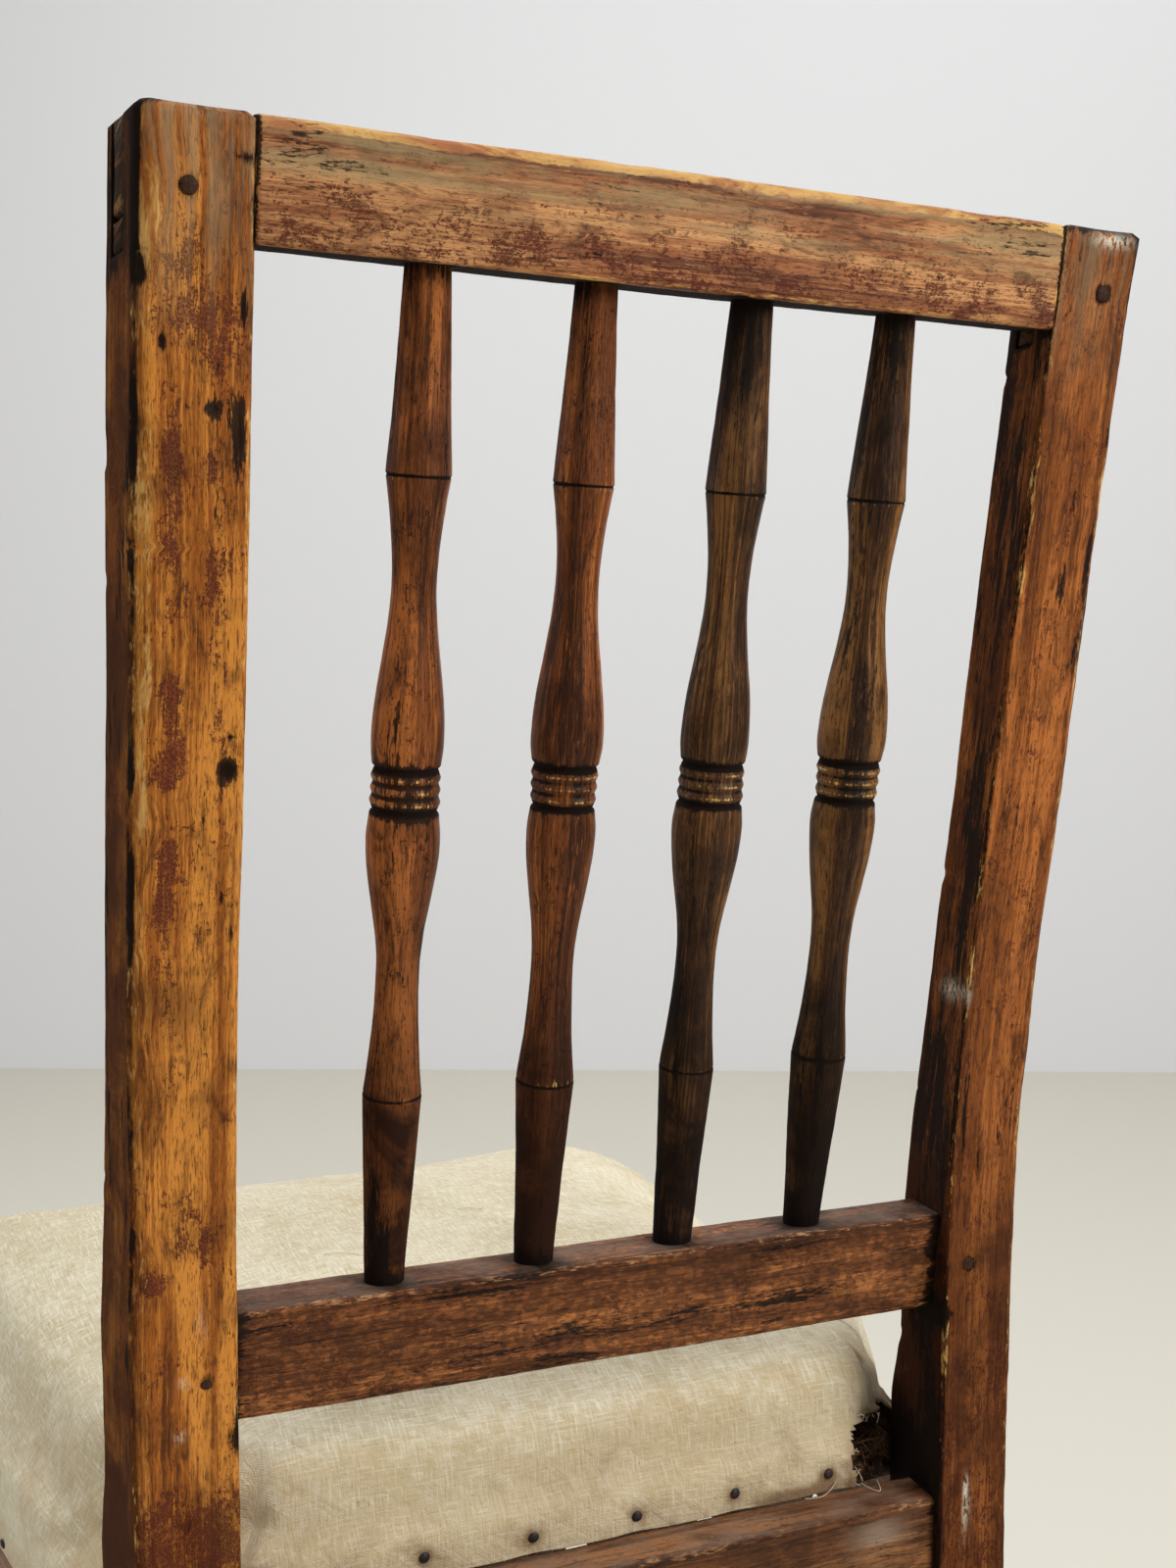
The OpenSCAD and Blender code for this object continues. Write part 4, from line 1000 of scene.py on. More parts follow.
def spindle_grime(s, V):
    g = (0.5 * smooth(s, 0.03, 0.0) + 0.22 * smooth(s, 0.14, 0.0) + 0.30 * smooth(s, 0.82, 1.0)
         + 0.25 * smooth(s, 0.975, 1.0))
    g = g + ring_share(s) * 0.40 * np.clip(-ring_wave(s), 0, 1)
    for c, w, a in ((RING_LOW, 0.0045, 0.95), (RING_HIGH, 0.0045, 0.95), (0.2085, 0.0016, 0.8),
                    (0.8135, 0.0016, 0.8)):
        g = g + a * hump(s, c, w)
    # Painted shade: the +X side of each spindle, turned from the key lamp, is painted darker.
    side = V[..., 0] - V.mean(1, keepdims=True)[..., 0]
    return g + 0.16 * smooth(side, -0.002, 0.009)


y0 = float(mid_y(0.516)) - 0.0145
y1 = float(rake_y(tb)) - 0.0155
for k, x in enumerate(spindle_x):
    f = [(a, d * (1 + 0.02 * math.sin(3.1 * k + 5 * j))) for j, (a, d) in enumerate(form)]
    zs, rs = spindle_profile(f)
    keep(turned("spindle_%d" % (k + 1), (x, y0 - 0.0004, 0.5148), (x, y1 + 0.0006, 0.8896), zs, rs,
                (m_spin, m_spin, m_spin_d, m_spin_d)[k], 40 + 3 * k, 56, spindle_grime, spindle_wear),
         "spindle_wood", "spindle_%d" % (k + 1))
print("spindles:", made)

# %% [markdown]
# ## Seat frame, legs and stretchers
# The front legs taper on their inner faces. Turned stretchers join them to the rear legs and to each
# other, and the seat rails carry the webbing.

# %% Legs, side rails and stretchers
def local(x, s):
    """A point x in from the seat's left side and s along it, towards the front."""
    c, q = math.cos(FLARE), math.sin(FLARE)
    return HALF + x * c + s * q, BACK + x * q - s * c


for sx, side in ((1, "left"), (-1, "right")):
    z = np.linspace(0, RAIL_TOP, 150)
    w = np.minimum(FOOT_W + 0.010 * z / RAIL_LOW, LEG_W)
    yi = FRONT + w
    C = quad([(outer_x(yi), yi, z), (outer_x(FRONT) + 0 * z, FRONT + 0 * z, z),
              (outer_x(FRONT) - w / math.cos(FLARE), FRONT + 0 * z, z),
              (outer_x(yi) - w / math.cos(FLARE), yi, z)])
    keep(bar("leg_" + side, C, (0.002, 0.003, 0.002, 0.0016), m_seat, 51 + sx, mirror=sx < 0,
             grime=lambda V: 0.2 * smooth(V[..., 2], 0.06, 0.0)), "seat_rail_wood", "front_leg_" + side)
    t = np.linspace(0, 1, 150)
    rows = []
    for x, zz in ((0.0, RAIL_TOP), (0.0, RAIL_LOW), (-RAIL_T, RAIL_LOW), (-RAIL_T, RAIL_TOP)):
        a = (POST_FRONT + 0.0005, FRONT + LEG_W - 0.0005)
        y = a[0] + (a[1] - a[0]) * t
        rows.append((outer_x(y) + x / math.cos(FLARE), y, zz + 0 * t))
    keep(bar("side_rail_" + side, quad(rows), (0.0014, 0.002, 0.0016, 0.0014), m_seat, 61 + sx,
             mirror=sx < 0, end=0.0005), "seat_rail_wood", "side_seat_rail_" + side)
    leg_in = FOOT_W + 0.010 * STRETCH_Z / RAIL_LOW
    post_in = BACK - 0.0165 - 0.0222 * STRETCH_Z / KICK_LOW
    ya, yb = post_in + 0.004, FRONT + leg_in - 0.004
    run = np.linspace(0, 1, 90)
    r = 0.0076 + 0.005 * np.sin(math.pi * run) ** 0.8
    a = (sx * (outer_x(ya) - 0.0171), ya, STRETCH_Z)
    b = (sx * (outer_x(yb) - 0.0171), yb, STRETCH_Z)
    keep(turned("stretcher_" + side, a, b, run, r, m_seat, 71 + sx, 40), "seat_rail_wood",
         "side_stretcher_" + side)
cy = (0.1507 + FRONT + leg_in) / 2
cx = outer_x(cy) - 0.0171
run = np.linspace(0, 1, 110)
keep(turned("stretcher_cross", (cx - 0.011, cy, STRETCH_Z), (-cx + 0.011, cy, STRETCH_Z), run,
            0.0066 + 0.0049 * np.sin(math.pi * run) ** 0.8, m_seat, 77, 40), "seat_rail_wood",
     "cross_stretcher")
t = np.linspace(-1, 1, 200)
end = outer_x(FRONT) - LEG_W / math.cos(FLARE)
C = quad([(t * (end + 0.0006 + (FRONT - y) * SPLAY), y + 0 * t, z + 0 * t) for y, z in
          ((FRONT + RAIL_T, RAIL_TOP), (FRONT + RAIL_T, RAIL_LOW), (FRONT, RAIL_LOW), (FRONT, RAIL_TOP))])
keep(bar("front_rail", C, (0.0014, 0.0016, 0.002, 0.0014), m_seat, 81, end=0.0005), "seat_rail_wood",
     "front_seat_rail")
print("frame:", made)

# %% [markdown]
# ## Stuffed seat
# The seat's form is a rounded pad. It is remeshed and blown up a little as cloth, so that it swells
# between its held edges, then it gets soft lumps. The stuffing is that form drawn in by the cover's
# thickness, and the cover is a grid of calico laid over it from the crown down to its tacked edge.

# %% The pad
SEAT_MID, HELD_Z, DRAWN_IN = -0.045, 0.3865, 0.992
pad = bpy.data.meshes.new("pad")
bm = bmesh.new()
for p in [v.co for v in nodes["seat_stuffing"].data.vertices]:
    bm.verts.new((p.x * DRAWN_IN, (p.y - SEAT_MID) * DRAWN_IN + SEAT_MID, p.z - 0.0012))
bmesh.ops.convex_hull(bm, input=bm.verts)
bm.to_mesh(pad)
bm.free()
pad_ob = new_object("pad", pad)
re = pad_ob.modifiers.new("remesh", "REMESH")
re.mode, re.voxel_size = "VOXEL", 0.006
bake(pad_ob)

print("pad points:", len(pad_ob.data.vertices))

# %% The pad's form
before = np.array([v.co for v in pad_ob.data.vertices])
bx, by, bz = before.T
high = smooth(bz, 0.415, 0.445)
front = smooth(-by, 0.05, 0.19) * smooth(by, -0.262, -0.215)
full = 0.005 * smooth(-by, -0.02, 0.10) + 0.0045 * front * (1 - 0.3 * smooth(bx, 0.10, 0.20))
full = full + 0.0045 * front * hump(bx, -0.13, 0.05)
before[:, 2] += full * high
sag = 0.60 * smooth(-bx, 0.140, 0.225) * smooth(-by, -0.06, 0.06)
above = before[:, 2] - HELD_Z
before[:, 2] = HELD_Z + above * np.where(above > 0, 1 - sag, 1)
wide = np.abs(bx)
wide = wide + 0.024 * hump(by, 0.132, 0.026) * smooth(wide, 0.07, 0.13) * smooth(bz, 0.405, 0.432)
wide = wide - 0.0065 * smooth(wide, 0.135, 0.150) * smooth(by, 0.10, 0.13) * smooth(bz, 0.395, 0.41)
limit = outer_x(by) * DRAWN_IN - 0.034 * smooth(by, 0.030, 0.115) + 0.008 * hump(by, 0.130, 0.014)
limit = limit + 0.1 * smooth(bz, 0.388, 0.372)
limit = limit - 0.012 * smooth(bz, 0.434, 0.456) * smooth(by, 0.030, 0.115)
wide = limit - 0.004 * np.logaddexp(0.0, (limit - wide) / 0.004)
before[:, 0] = np.sign(bx) * np.maximum(wide, 0.0)
for v, q in zip(pad_ob.data.vertices, before):
    v.co = q

print("pad spans:", before.min(0), before.max(0))

# %% The pad blown up as cloth
held = pad_ob.vertex_groups.new(name="held")
for k, p in enumerate(before):
    held.add([k], 1.0 if p[2] < 0.392 else 0.0, "REPLACE")
cm = pad_ob.modifiers.new("cloth", "CLOTH")
cm.settings.use_pressure = True
cm.settings.uniform_pressure_force = 4.0
cm.settings.quality = 5
cm.settings.mass = 0.3
cm.settings.tension_stiffness = 15
cm.settings.bending_stiffness = 0.5
cm.settings.vertex_group_mass = "held"
cm.settings.effector_weights.gravity = 0.0
for f in range(1, 21):
    bpy.context.scene.frame_set(f)
bake(pad_ob)
after = np.array([v.co for v in pad_ob.data.vertices])
move = after - before
size = np.linalg.norm(move, axis=1, keepdims=True)
move = move * np.minimum(1, 0.005 / np.maximum(size, 1e-9))
for v, p in zip(pad_ob.data.vertices, before + move):
    v.co = p
bpy.context.scene.frame_set(1)
print("cloth moved by up to", float(size.max()))
pad_ob.data.update()

# %% [markdown]
# ### Cover
# Rays from the seat's middle find the pad's surface, and each column of the grid runs from the crown to
# the cover's lower edge. Near the torn corner the columns are closer, so that the tear has a fine edge.

# %% Plan of the cover
bvh = BVHTree.FromObject(pad_ob, bpy.context.evaluated_depsgraph_get())
hub = np.array([0.0, SEAT_MID, HELD_Z])
plan = [(0.137, 0.148), (outer_x(0.128), 0.128), (outer_x(FRONT), FRONT), (-outer_x(FRONT), FRONT),
        (-outer_x(0.128), 0.128), (-0.137, 0.148)]
plan = [(float(a) + math.copysign(0.0011, a), float(b) + (0.0018 if b > 0 else -0.0011)) for a, b in plan]


def plan_reach(th):
    d = np.array([math.cos(th), math.sin(th)])
    best = 1.0
    for (ax, ay), (bx, by) in zip(plan, plan[1:] + plan[:1]):
        e = np.array([bx - ax, by - ay])
        A = np.array([[d[0], -e[0]], [d[1], -e[1]]])
        if abs(np.linalg.det(A)) < 1e-12:
            continue
        s, u = np.linalg.solve(A, np.array([ax - hub[0], ay - hub[1]]))
        if s > 0 and -1e-9 <= u <= 1 + 1e-9:
            best = min(best, s)
    return best


fine_th = np.linspace(-math.pi, math.pi, 2401)
reach = np.array([plan_reach(th) for th in fine_th])
xy = hub[:2] + reach[:, None] * np.stack([np.cos(fine_th), np.sin(fine_th)], 1)
weight = np.linalg.norm(np.diff(xy, axis=0), axis=1)
midp = (xy[1:] + xy[:-1]) / 2
weight = (weight * (1 + 1.8 * np.exp(-(((midp[:, 0] + 0.15) / 0.035) ** 2
                                       + ((midp[:, 1] - 0.14) / 0.03) ** 2))))
weight = (weight * (1 + 1.2 * np.exp(-(((midp[:, 0] - 0.18) / 0.04) ** 2
                                       + ((midp[:, 1] - 0.13) / 0.03) ** 2))))
acc = np.concatenate([[0], np.cumsum(weight)])
COLS, ROWS = 430, 84
CLOTH_T, TUCK_Z, SIDE_Z = 0.0009, 0.3858, 0.346
ths = np.interp(np.linspace(0, acc[-1], COLS, endpoint=False), acc, fine_th)

print("columns:", len(ths))

# %% Columns from the crown to the edge
grid = np.zeros((ROWS, COLS, 3))
drop = np.zeros((ROWS, COLS))
elev = np.linspace(math.pi / 2, 0.0, 80)
lip = np.zeros(COLS)
for c, th in enumerate(ths):
    d2 = np.array([math.cos(th), math.sin(th)])
    prof = []
    for e in elev:
        ray = Vector((d2[0] * math.cos(e), d2[1] * math.cos(e), math.sin(e) + 1e-5))
        p = np.array(bvh.ray_cast(Vector(hub), ray)[0])
        out = np.linalg.norm(p[:2] - hub[:2])
        prof.append((out + CLOTH_T * math.cos(e), p[2] + CLOTH_T * math.sin(e)))
    prof = np.array(prof)
    R = plan_reach(th)
    foot = hub[:2] + R * d2
    rear = foot[1] > 0.1276
    held = float(smooth(abs(foot[0]), 0.190, 0.158)) if rear else 0.0
    w = held * smooth(prof[:, 1], 0.414, 0.402) + (1 - held) * smooth(prof[:, 1], 0.396, 0.3875)
    ledge = 0.012 * float(smooth(foot[1], 0.025, 0.075)) * (1 - held)
    prof[:, 0] = prof[:, 0] * (1 - w) + (R - ledge) * w
    lip[c] = TUCK_Z if rear else SIDE_Z
    if not rear:
        prof = np.vstack([prof, [[R - ledge, TUCK_Z], [R - 0.2 * ledge, 0.3765], [R, 0.3735], [R, SIDE_Z]]])
    s = lengths(prof)
    want = s[-1] * (1 - np.linspace(1, 0, ROWS) ** 1.45)
    r, z = np.interp(want, s, prof[:, 0]), np.interp(want, s, prof[:, 1])
    grid[:, c, :2] = hub[:2] + r[:, None] * d2
    grid[:, c, 2] = z
    drop[:, c] = want - r
grid[0] = grid[0].mean(0)

print("drop of the cover:", drop.max())

# %% Lumps, folds and the fit at the posts
nrm = outward(grid)
nrm[0] = [0, 0, 1]
top = smooth(grid[..., 2], 0.40, 0.42)
lump = 0.0016 * fbm(grid, 0.07, 4) + 0.0008 * fbm(grid, 0.024, 9) + 0.00025 * noise(grid, 0.008, 2)
crease = np.abs(noise(grid + 0.3 * grid[..., [1, 0, 2]], 0.05, 17))
lump = lump - 0.0007 * np.exp(-(crease / 0.05) ** 2)
grid = grid + nrm * (lump * (0.15 + 0.85 * top))[..., None]
pull = np.zeros((ROWS, COLS))
TACK_GAP = 0.048
tack_x = [(k - 2.5) * TACK_GAP + 0.004 for k in range(6)]
rearish = smooth(grid[..., 1], 0.128, 0.138)
between = np.min([np.abs(grid[..., 0] - x) for x in tack_x], axis=0)
pull += rearish * 0.0013 * smooth(between, 0.0, 0.016) * smooth(grid[..., 2], 0.440, 0.390)
fold_line = np.abs(grid[..., 0] + 0.1455 - 0.10 * (grid[..., 2] - 0.40))
at_rear = smooth(grid[..., 1], 0.09, 0.12)
pull += 0.0022 * np.exp(-(fold_line / 0.0035) ** 2) * at_rear * smooth(grid[..., 2], 0.402, 0.425)
pull -= 0.0012 * hump(fold_line, 0.0075, 0.004) * at_rear * smooth(grid[..., 2], 0.40, 0.43)
grid = grid + nrm * pull[..., None]
POST_IN_X, POST_IN_Y = 0.1560, 0.1268
to_front = grid[..., 1] - POST_IN_Y
to_inner = np.abs(grid[..., 0]) - POST_IN_X
inside = (np.abs(grid[..., 0]) > POST_IN_X) & (grid[..., 1] > POST_IN_Y)
grid[..., 1] = np.where(inside & (to_front <= to_inner), POST_IN_Y, grid[..., 1])
grid[..., 0] = np.where(inside & (to_front > to_inner), np.sign(grid[..., 0]) * POST_IN_X, grid[..., 0])
flatn = np.abs(nrm[-30]) ** 3
share = flatn[:, :2] / np.maximum(flatn[:, :2].sum(1, keepdims=True), 1e-9)
uvg = np.stack([grid[..., 0] + np.sign(grid[..., 0]) * drop * share[None, :, 0],
                grid[..., 1] + np.sign(grid[..., 1] - SEAT_MID) * drop * share[None, :, 1]], -1)
print("grid:", grid.shape, "lowest edge:", lip.min())

# %% [markdown]
# ### Tear, stains and cloth
# The tear is a ragged opening low in the corner by the sitter's right post, with its lips curled out.
# Stains gather along the lower edges, round the tacks and in the corner. The rear wall is painted darker
# and warmer, partly as shade, and the +X side and a fold by the right post carry painted shade.

# %% Tear, stains and cloth
P = grid
rag = 0.0030 * fbm(P * np.array([1.0, 0.4, 1.0]), 0.011, 23) + 0.0011 * noise(P, 0.0045, 29)
edge = (-0.1290 - 0.005 * smooth(P[..., 2], 0.403, 0.412) - 0.002 * smooth(P[..., 2], 0.399, 0.392)
        + 0.0012 * np.sin(P[..., 2] * 620))
gap = (P[..., 0] + rag < edge) & (P[..., 1] > 0.1275) & (P[..., 2] + rag * 1.2 < 0.4115)
away = np.hypot(np.clip(P[..., 0] - edge, 0, 1), np.clip(P[..., 2] - 0.4115, 0, 1))
near_gap = np.exp(-(away / 0.005) ** 2) * (P[..., 1] > 0.10) * (P[..., 2] < 0.424) * (P[..., 0] < -0.11)
P = P + nrm * (near_gap * (0.0010 + 0.0014 * noise(P, 0.006, 31)))[..., None]
behind = smooth(P[..., 1], 0.02, 0.125)
# The rear wall below its top edge is painted darker and warmer: partly painted shade, partly a warmer tone.
stain_and_shade = 0.34 * smooth(P[..., 2], 0.450, 0.430) * behind + 0.16 * smooth(P[..., 2], 0.43, 0.388) * behind
stain_and_shade += 0.50 * smooth(P[..., 2], 0.374, 0.344)
# Painted shade on the seat's +X side, turned from the key lamp; real stains round the tear.
stain_and_shade += 0.5 * near(P, (0.225, 0.03, 0.41), (0.03, 0.06, 0.03)) + 0.45 * near_gap
stain_and_shade += (0.8 * near(P, (-0.10, 0.149, 0.388), (0.02, 0.01, 0.004))
          + 0.35 * near(P, (0.02, -0.10, 0.463), (0.02, 0.02, 0.02)))
# Painted shade along the fold by the right post.
stain_and_shade += (0.55 * near(P, (-0.149, 0.128, 0.436), (0.004, 0.02, 0.006))
          + 0.7 * near(P, (-0.145, 0.128, 0.452), (0.003, 0.02, 0.004)))
for x in tack_x:
    stain_and_shade += 0.6 * near(P, (x, 0.149, 0.394), (0.004, 0.02, 0.004))
stain_and_shade += 0.25 * smooth(np.abs(P[..., 0]), 0.13, 0.155) * smooth(P[..., 1], 0.10, 0.13)
verts = [tuple(P[0, 0])] + [tuple(v) for v in P[1:].reshape(-1, 3)]
faces, uvs = [], []


def vid(r, c):
    """A grid point's number in the mesh; the first row is one point."""
    return 0 if r == 0 else 1 + (r - 1) * COLS + c % COLS


for r in range(ROWS - 1):
    for c in range(COLS):
        cc = (c + 1) % COLS
        if gap[r, c] or gap[r + 1, c] or gap[r, cc] or gap[r + 1, cc]:
            continue
        if abs(lip[c] - lip[cc]) > 0.01 and P[r + 1, c, 2] < 0.3875:
            continue
        ids = [(r, c), (r, cc), (r + 1, cc), (r + 1, c)] if r else [(0, c), (1, cc), (1, c)]
        faces.append([vid(a, b) for a, b in ids])
        uvs += [tuple(uvg[a, b]) for a, b in ids]


def sheet(name, verts, faces, uvs, grime, material, thick, offset):
    """An open mesh with its face up, made a cloth of the given thickness; also its area on one side."""
    me = bpy.data.meshes.new(name)
    me.from_pydata(verts, [], faces)
    me.uv_layers.new(name="UVMap").data.foreach_set("uv", np.asarray(uvs, np.float32).ravel())
    at_points = me.attributes.new("grime", "FLOAT", "POINT").data
    at_points.foreach_set("value", np.asarray(grime, np.float32).ravel())
    bm = bmesh.new()
    bm.from_mesh(me)
    bmesh.ops.delete(bm, geom=[v for v in bm.verts if not v.link_faces], context="VERTS")
    if sum(f.normal.z * f.calc_area() for f in bm.faces) < 0:
        bmesh.ops.reverse_faces(bm, faces=bm.faces)
    area = sum(f.calc_area() for f in bm.faces)
    bm.to_mesh(me)
    bm.free()
    me.shade_smooth()
    me.materials.append(material)
    ob = new_object(name, me)
    solid = ob.modifiers.new("thick", "SOLIDIFY")
    solid.thickness, solid.offset = thick, offset
    bake(ob)
    return ob, area


stain_and_shade_at = [float(stain_and_shade[0].mean())] + list(stain_and_shade[1:].ravel())
cover, cloth_area = sheet("seat_cover_cloth", verts, faces, uvs, stain_and_shade_at, m_calico, CLOTH_T, -1.0)
keep(cover, "calico", "seat_cover")
cover_bb = np.array([v.co for v in cover.data.vertices])
print("cover area:", round(cloth_area, 4), "box:", cover_bb.min(0), cover_bb.max(0))

# %% [markdown]
# ### Stuffing
# The pad becomes the stuffing: it is drawn in under the cover, hollowed and roughened behind the tear,
# and kept clear of the strip and the posts.

# %% Drawing the pad in
co = np.array([v.co for v in pad_ob.data.vertices])
pn = np.array([v.normal for v in pad_ob.data.vertices])
co = co - pn * 0.0035
hollow = near(co, (-0.140, 0.138, 0.400), (0.020, 0.03, 0.020))
co = co - pn * (0.010 * hollow + 0.0012 * fbm(co, 0.006, 5) * (hollow > 0.05))[:, None]
co[:, 2] = np.maximum(co[:, 2], 0.3778)
STRIP_TOP, POST_CLEAR = 0.4005, 0.1255
on_strip = (co[:, 1] > 0.1318) & (co[:, 2] < STRIP_TOP)
co[:, 2] = np.where(on_strip, STRIP_TOP, co[:, 2])
at_post = (np.abs(co[:, 0]) > 0.1545) & (co[:, 1] > POST_CLEAR)
co[:, 1] = np.where(at_post, POST_CLEAR, co[:, 1])
for v, p in zip(pad_ob.data.vertices, co):
    v.co = p
finer = pad_ob.modifiers.new("fine", "SUBSURF")
finer.levels = finer.render_levels = 1
bake(pad_ob)
pad_ob.name = "seat_stuffing_pad"
pad_ob.data.materials.clear()
pad_ob.data.materials.append(m_stuffing)
pad_ob.data.shade_smooth()
keep(pad_ob, "stuffing", "seat_stuffing")
print("stuffing polygons:", len(pad_ob.data.polygons))

# %% [markdown]
# ## Webbing and base cloth
# Bands of jute pass over and under each other across the frame, with their ends tacked to the rails.
# A coarse hessian lies on them and carries the stuffing.

# %% Bands of webbing
def ribbon(name, path, wide, thick, material, across_dir):
    """A flat band along a path, as wide as given, in the direction across_dir."""
    path = np.array(path, float)
    s = lengths(path)
    fine = np.linspace(0, s[-1], max(12, int(s[-1] / 0.004)))
    mid = np.stack([np.interp(fine, s, path[:, k]) for k in range(3)], 1)
    tang = unit(np.gradient(mid, axis=0))
    side = np.broadcast_to(np.array(across_dir, float), mid.shape)
    up = unit(np.cross(tang, side))
    t = np.linspace(-1, 1, 9)
    ring = [mid + side * wide / 2 * a + up * thick / 2 for a in t]
    ring += [mid + side * wide / 2 * a - up * thick / 2 for a in t[::-1]]
    V = np.stack(ring, 1)
    V = V + 0.0003 * fbm(V, 0.02, 3)[..., None] * up[:, None]
    return skin(name, V, {"grime": 0.3 + 0.3 * fbm(V, 0.05, 8)}, material, 0)


web_w, WEB_T = 0.050, 0.0011
OVER, UNDER, BETWEEN = 0.0022, 0.0008, 0.0014
long_x = [(k - 1.5) * 0.062 for k in range(4)]
back_end, front_end = 0.10796, FRONT + 0.048
cross = [back_end - 0.025 - k * (back_end - front_end - 0.05) / 3 for k in range(4)]
zb = RAIL_TOP + 0.0002
bands = []
for k, x in enumerate(long_x):
    path = [(x, FRONT + 0.006, zb + 0.0007), (x, FRONT + 0.022, zb + 0.0007)]
    for j in range(3, -1, -1):
        over = zb + (OVER if (j + k) % 2 else UNDER)
        path += [(x, cross[j] - 0.030, zb + BETWEEN), (x, cross[j] - 0.014, over),
                 (x, cross[j] + 0.014, over)]
    path += [(x, 0.125, zb + BETWEEN), (x, 0.1332, zb + 0.0018), (x, 0.1340, zb + 0.0125)]
    bands.append(ribbon("band_long_%d" % k, path, web_w, WEB_T, m_webbing, (1, 0, 0)))
for j, y in enumerate(cross):
    xe = float(outer_x(y)) - 0.0085
    path = [(-xe, y, zb + 0.0007), (-xe + 0.018, y, zb + 0.0007)]
    for k, x in enumerate(long_x):
        over = zb + (UNDER if (j + k) % 2 else OVER)
        path += [(x - 0.031, y, zb + BETWEEN), (x - 0.016, y, over), (x + 0.016, y, over)]
    path += [(xe - 0.018, y, zb + 0.0007), (xe, y, zb + 0.0007)]
    bands.append(ribbon("band_cross_%d" % j, path, web_w, WEB_T, m_webbing, (0, 1, 0)))
for b in bands:
    keep(b, "webbing", "webbing_lengthwise" if "long" in b.name else "webbing_crosswise")
    length = 0.40 if "long" in b.name else 0.42

print("bands:", len(bands))

# %% Base cloth
POINTS = 60
gx, gy = np.meshgrid(np.linspace(-1, 1, POINTS), np.linspace(0, 1, POINTS), indexing="xy")
yy = FRONT + 0.008 + gy * (0.1310 - FRONT - 0.008)
half = np.where(yy > 0.125, 0.1365, outer_x(yy) - 0.0085)
base = np.stack([gx * half, yy, 0.3768 + 0.0004 * fbm(np.stack([gx, gy, 0 * gx], -1), 0.2, 3)], -1)
corner = [r * POINTS + c for r in range(POINTS - 1) for c in range(POINTS - 1)]
faces = [(k, k + 1, k + POINTS + 1, k + POINTS) for k in corner]
verts = [tuple(v) for v in base.reshape(-1, 3)]
uvs = [verts[k][:2] for f in faces for k in f]
base_ob, _ = sheet("base_cloth_sheet", verts, faces, uvs, 0.3 + 0.3 * fbm(base, 0.06, 5), m_hessian,
                   0.0006, 0.0)
keep(base_ob, "hessian", "base_cloth")

# %% [markdown]
# ## Tacks and pegs
# One geometry-node tree sets a small forged tack on every point of a list, turned to its surface and
# tilted a little at random. The same tree sets the wooden pegs.

# %% The tree
tree = bpy.data.node_groups.new("set on points", "GeometryNodeTree")
face = tree.interface
face.new_socket("Geometry", in_out="INPUT", socket_type="NodeSocketGeometry")
for n, k in (("Piece", "NodeSocketObject"), ("Tilt", "NodeSocketFloat"), ("Seed", "NodeSocketInt"),
             ("Material", "NodeSocketMaterial")):
    face.new_socket(n, in_out="INPUT", socket_type=k)
face.new_socket("Geometry", in_out="OUTPUT", socket_type="NodeSocketGeometry")
gi, go = tree.nodes.new("NodeGroupInput"), tree.nodes.new("NodeGroupOutput")
info = N(tree, "GeometryNodeObjectInfo", {"Object": gi.outputs["Piece"]})
turn = N(tree, "GeometryNodeInputNamedAttribute", {"Name": "turn"}, data_type="FLOAT_VECTOR").outputs[0]
tiny = N(tree, "ShaderNodeVectorMath", {0: (1, 1, 1), "Scale": gi.outputs["Tilt"]},
         operation="SCALE").outputs[0]
minus = N(tree, "ShaderNodeVectorMath", {0: tiny, "Scale": -1.0}, operation="SCALE").outputs[0]
rand = N(tree, "FunctionNodeRandomValue", {0: minus, 1: tiny, "Seed": gi.outputs["Seed"]},
         data_type="FLOAT_VECTOR").outputs[0]
rot = N(tree, "ShaderNodeVectorMath", {0: turn, 1: rand}, operation="ADD").outputs[0]
inst = N(tree, "GeometryNodeInstanceOnPoints", {"Points": gi.outputs["Geometry"],
                                                "Instance": info.outputs["Geometry"], "Rotation": rot})
real = N(tree, "GeometryNodeRealizeInstances", {0: inst.outputs[0]})
setm = N(tree, "GeometryNodeSetMaterial", {"Geometry": real.outputs[0], "Material": gi.outputs["Material"]})
tree.links.new(setm.outputs[0], go.inputs[0])


def lathe_piece(name, prof, sides=20, seed=0):
    ang = np.linspace(0, 2 * math.pi, sides, endpoint=False)
    V = np.array([[(r * math.cos(a), r * math.sin(a), z) for a in ang] for r, z in prof])
    V = V * (1 + 0.05 * noise(V + seed, 0.0025, seed)[..., None] * np.array([1, 1, 0.4]))
    return skin(name, V, {"wear": 0.2, "paint": 0.0, "grime": 0.2}, m_iron)


def set_on(name, piece, places, tilt, seed, material, slot, *replaced):
    me = bpy.data.meshes.new(name)
    me.from_pydata([p for p, _ in places], [], [])
    at_points = me.attributes.new("turn", "FLOAT_VECTOR", "POINT").data
    at_points.foreach_set("vector", np.array([r for _, r in places], np.float32).ravel())
    ob = new_object(name, me)
    mod = ob.modifiers.new("set", "NODES")
    mod.node_group = tree
    ids = {s.name: s.identifier for s in tree.interface.items_tree if s.in_out == "INPUT"}
    for key, val in (("Piece", piece), ("Tilt", tilt), ("Seed", seed), ("Material", material)):
        mod[ids[key]] = val
    bake(ob)
    return keep(ob, slot, *replaced)


print("tree nodes:", len(tree.nodes))

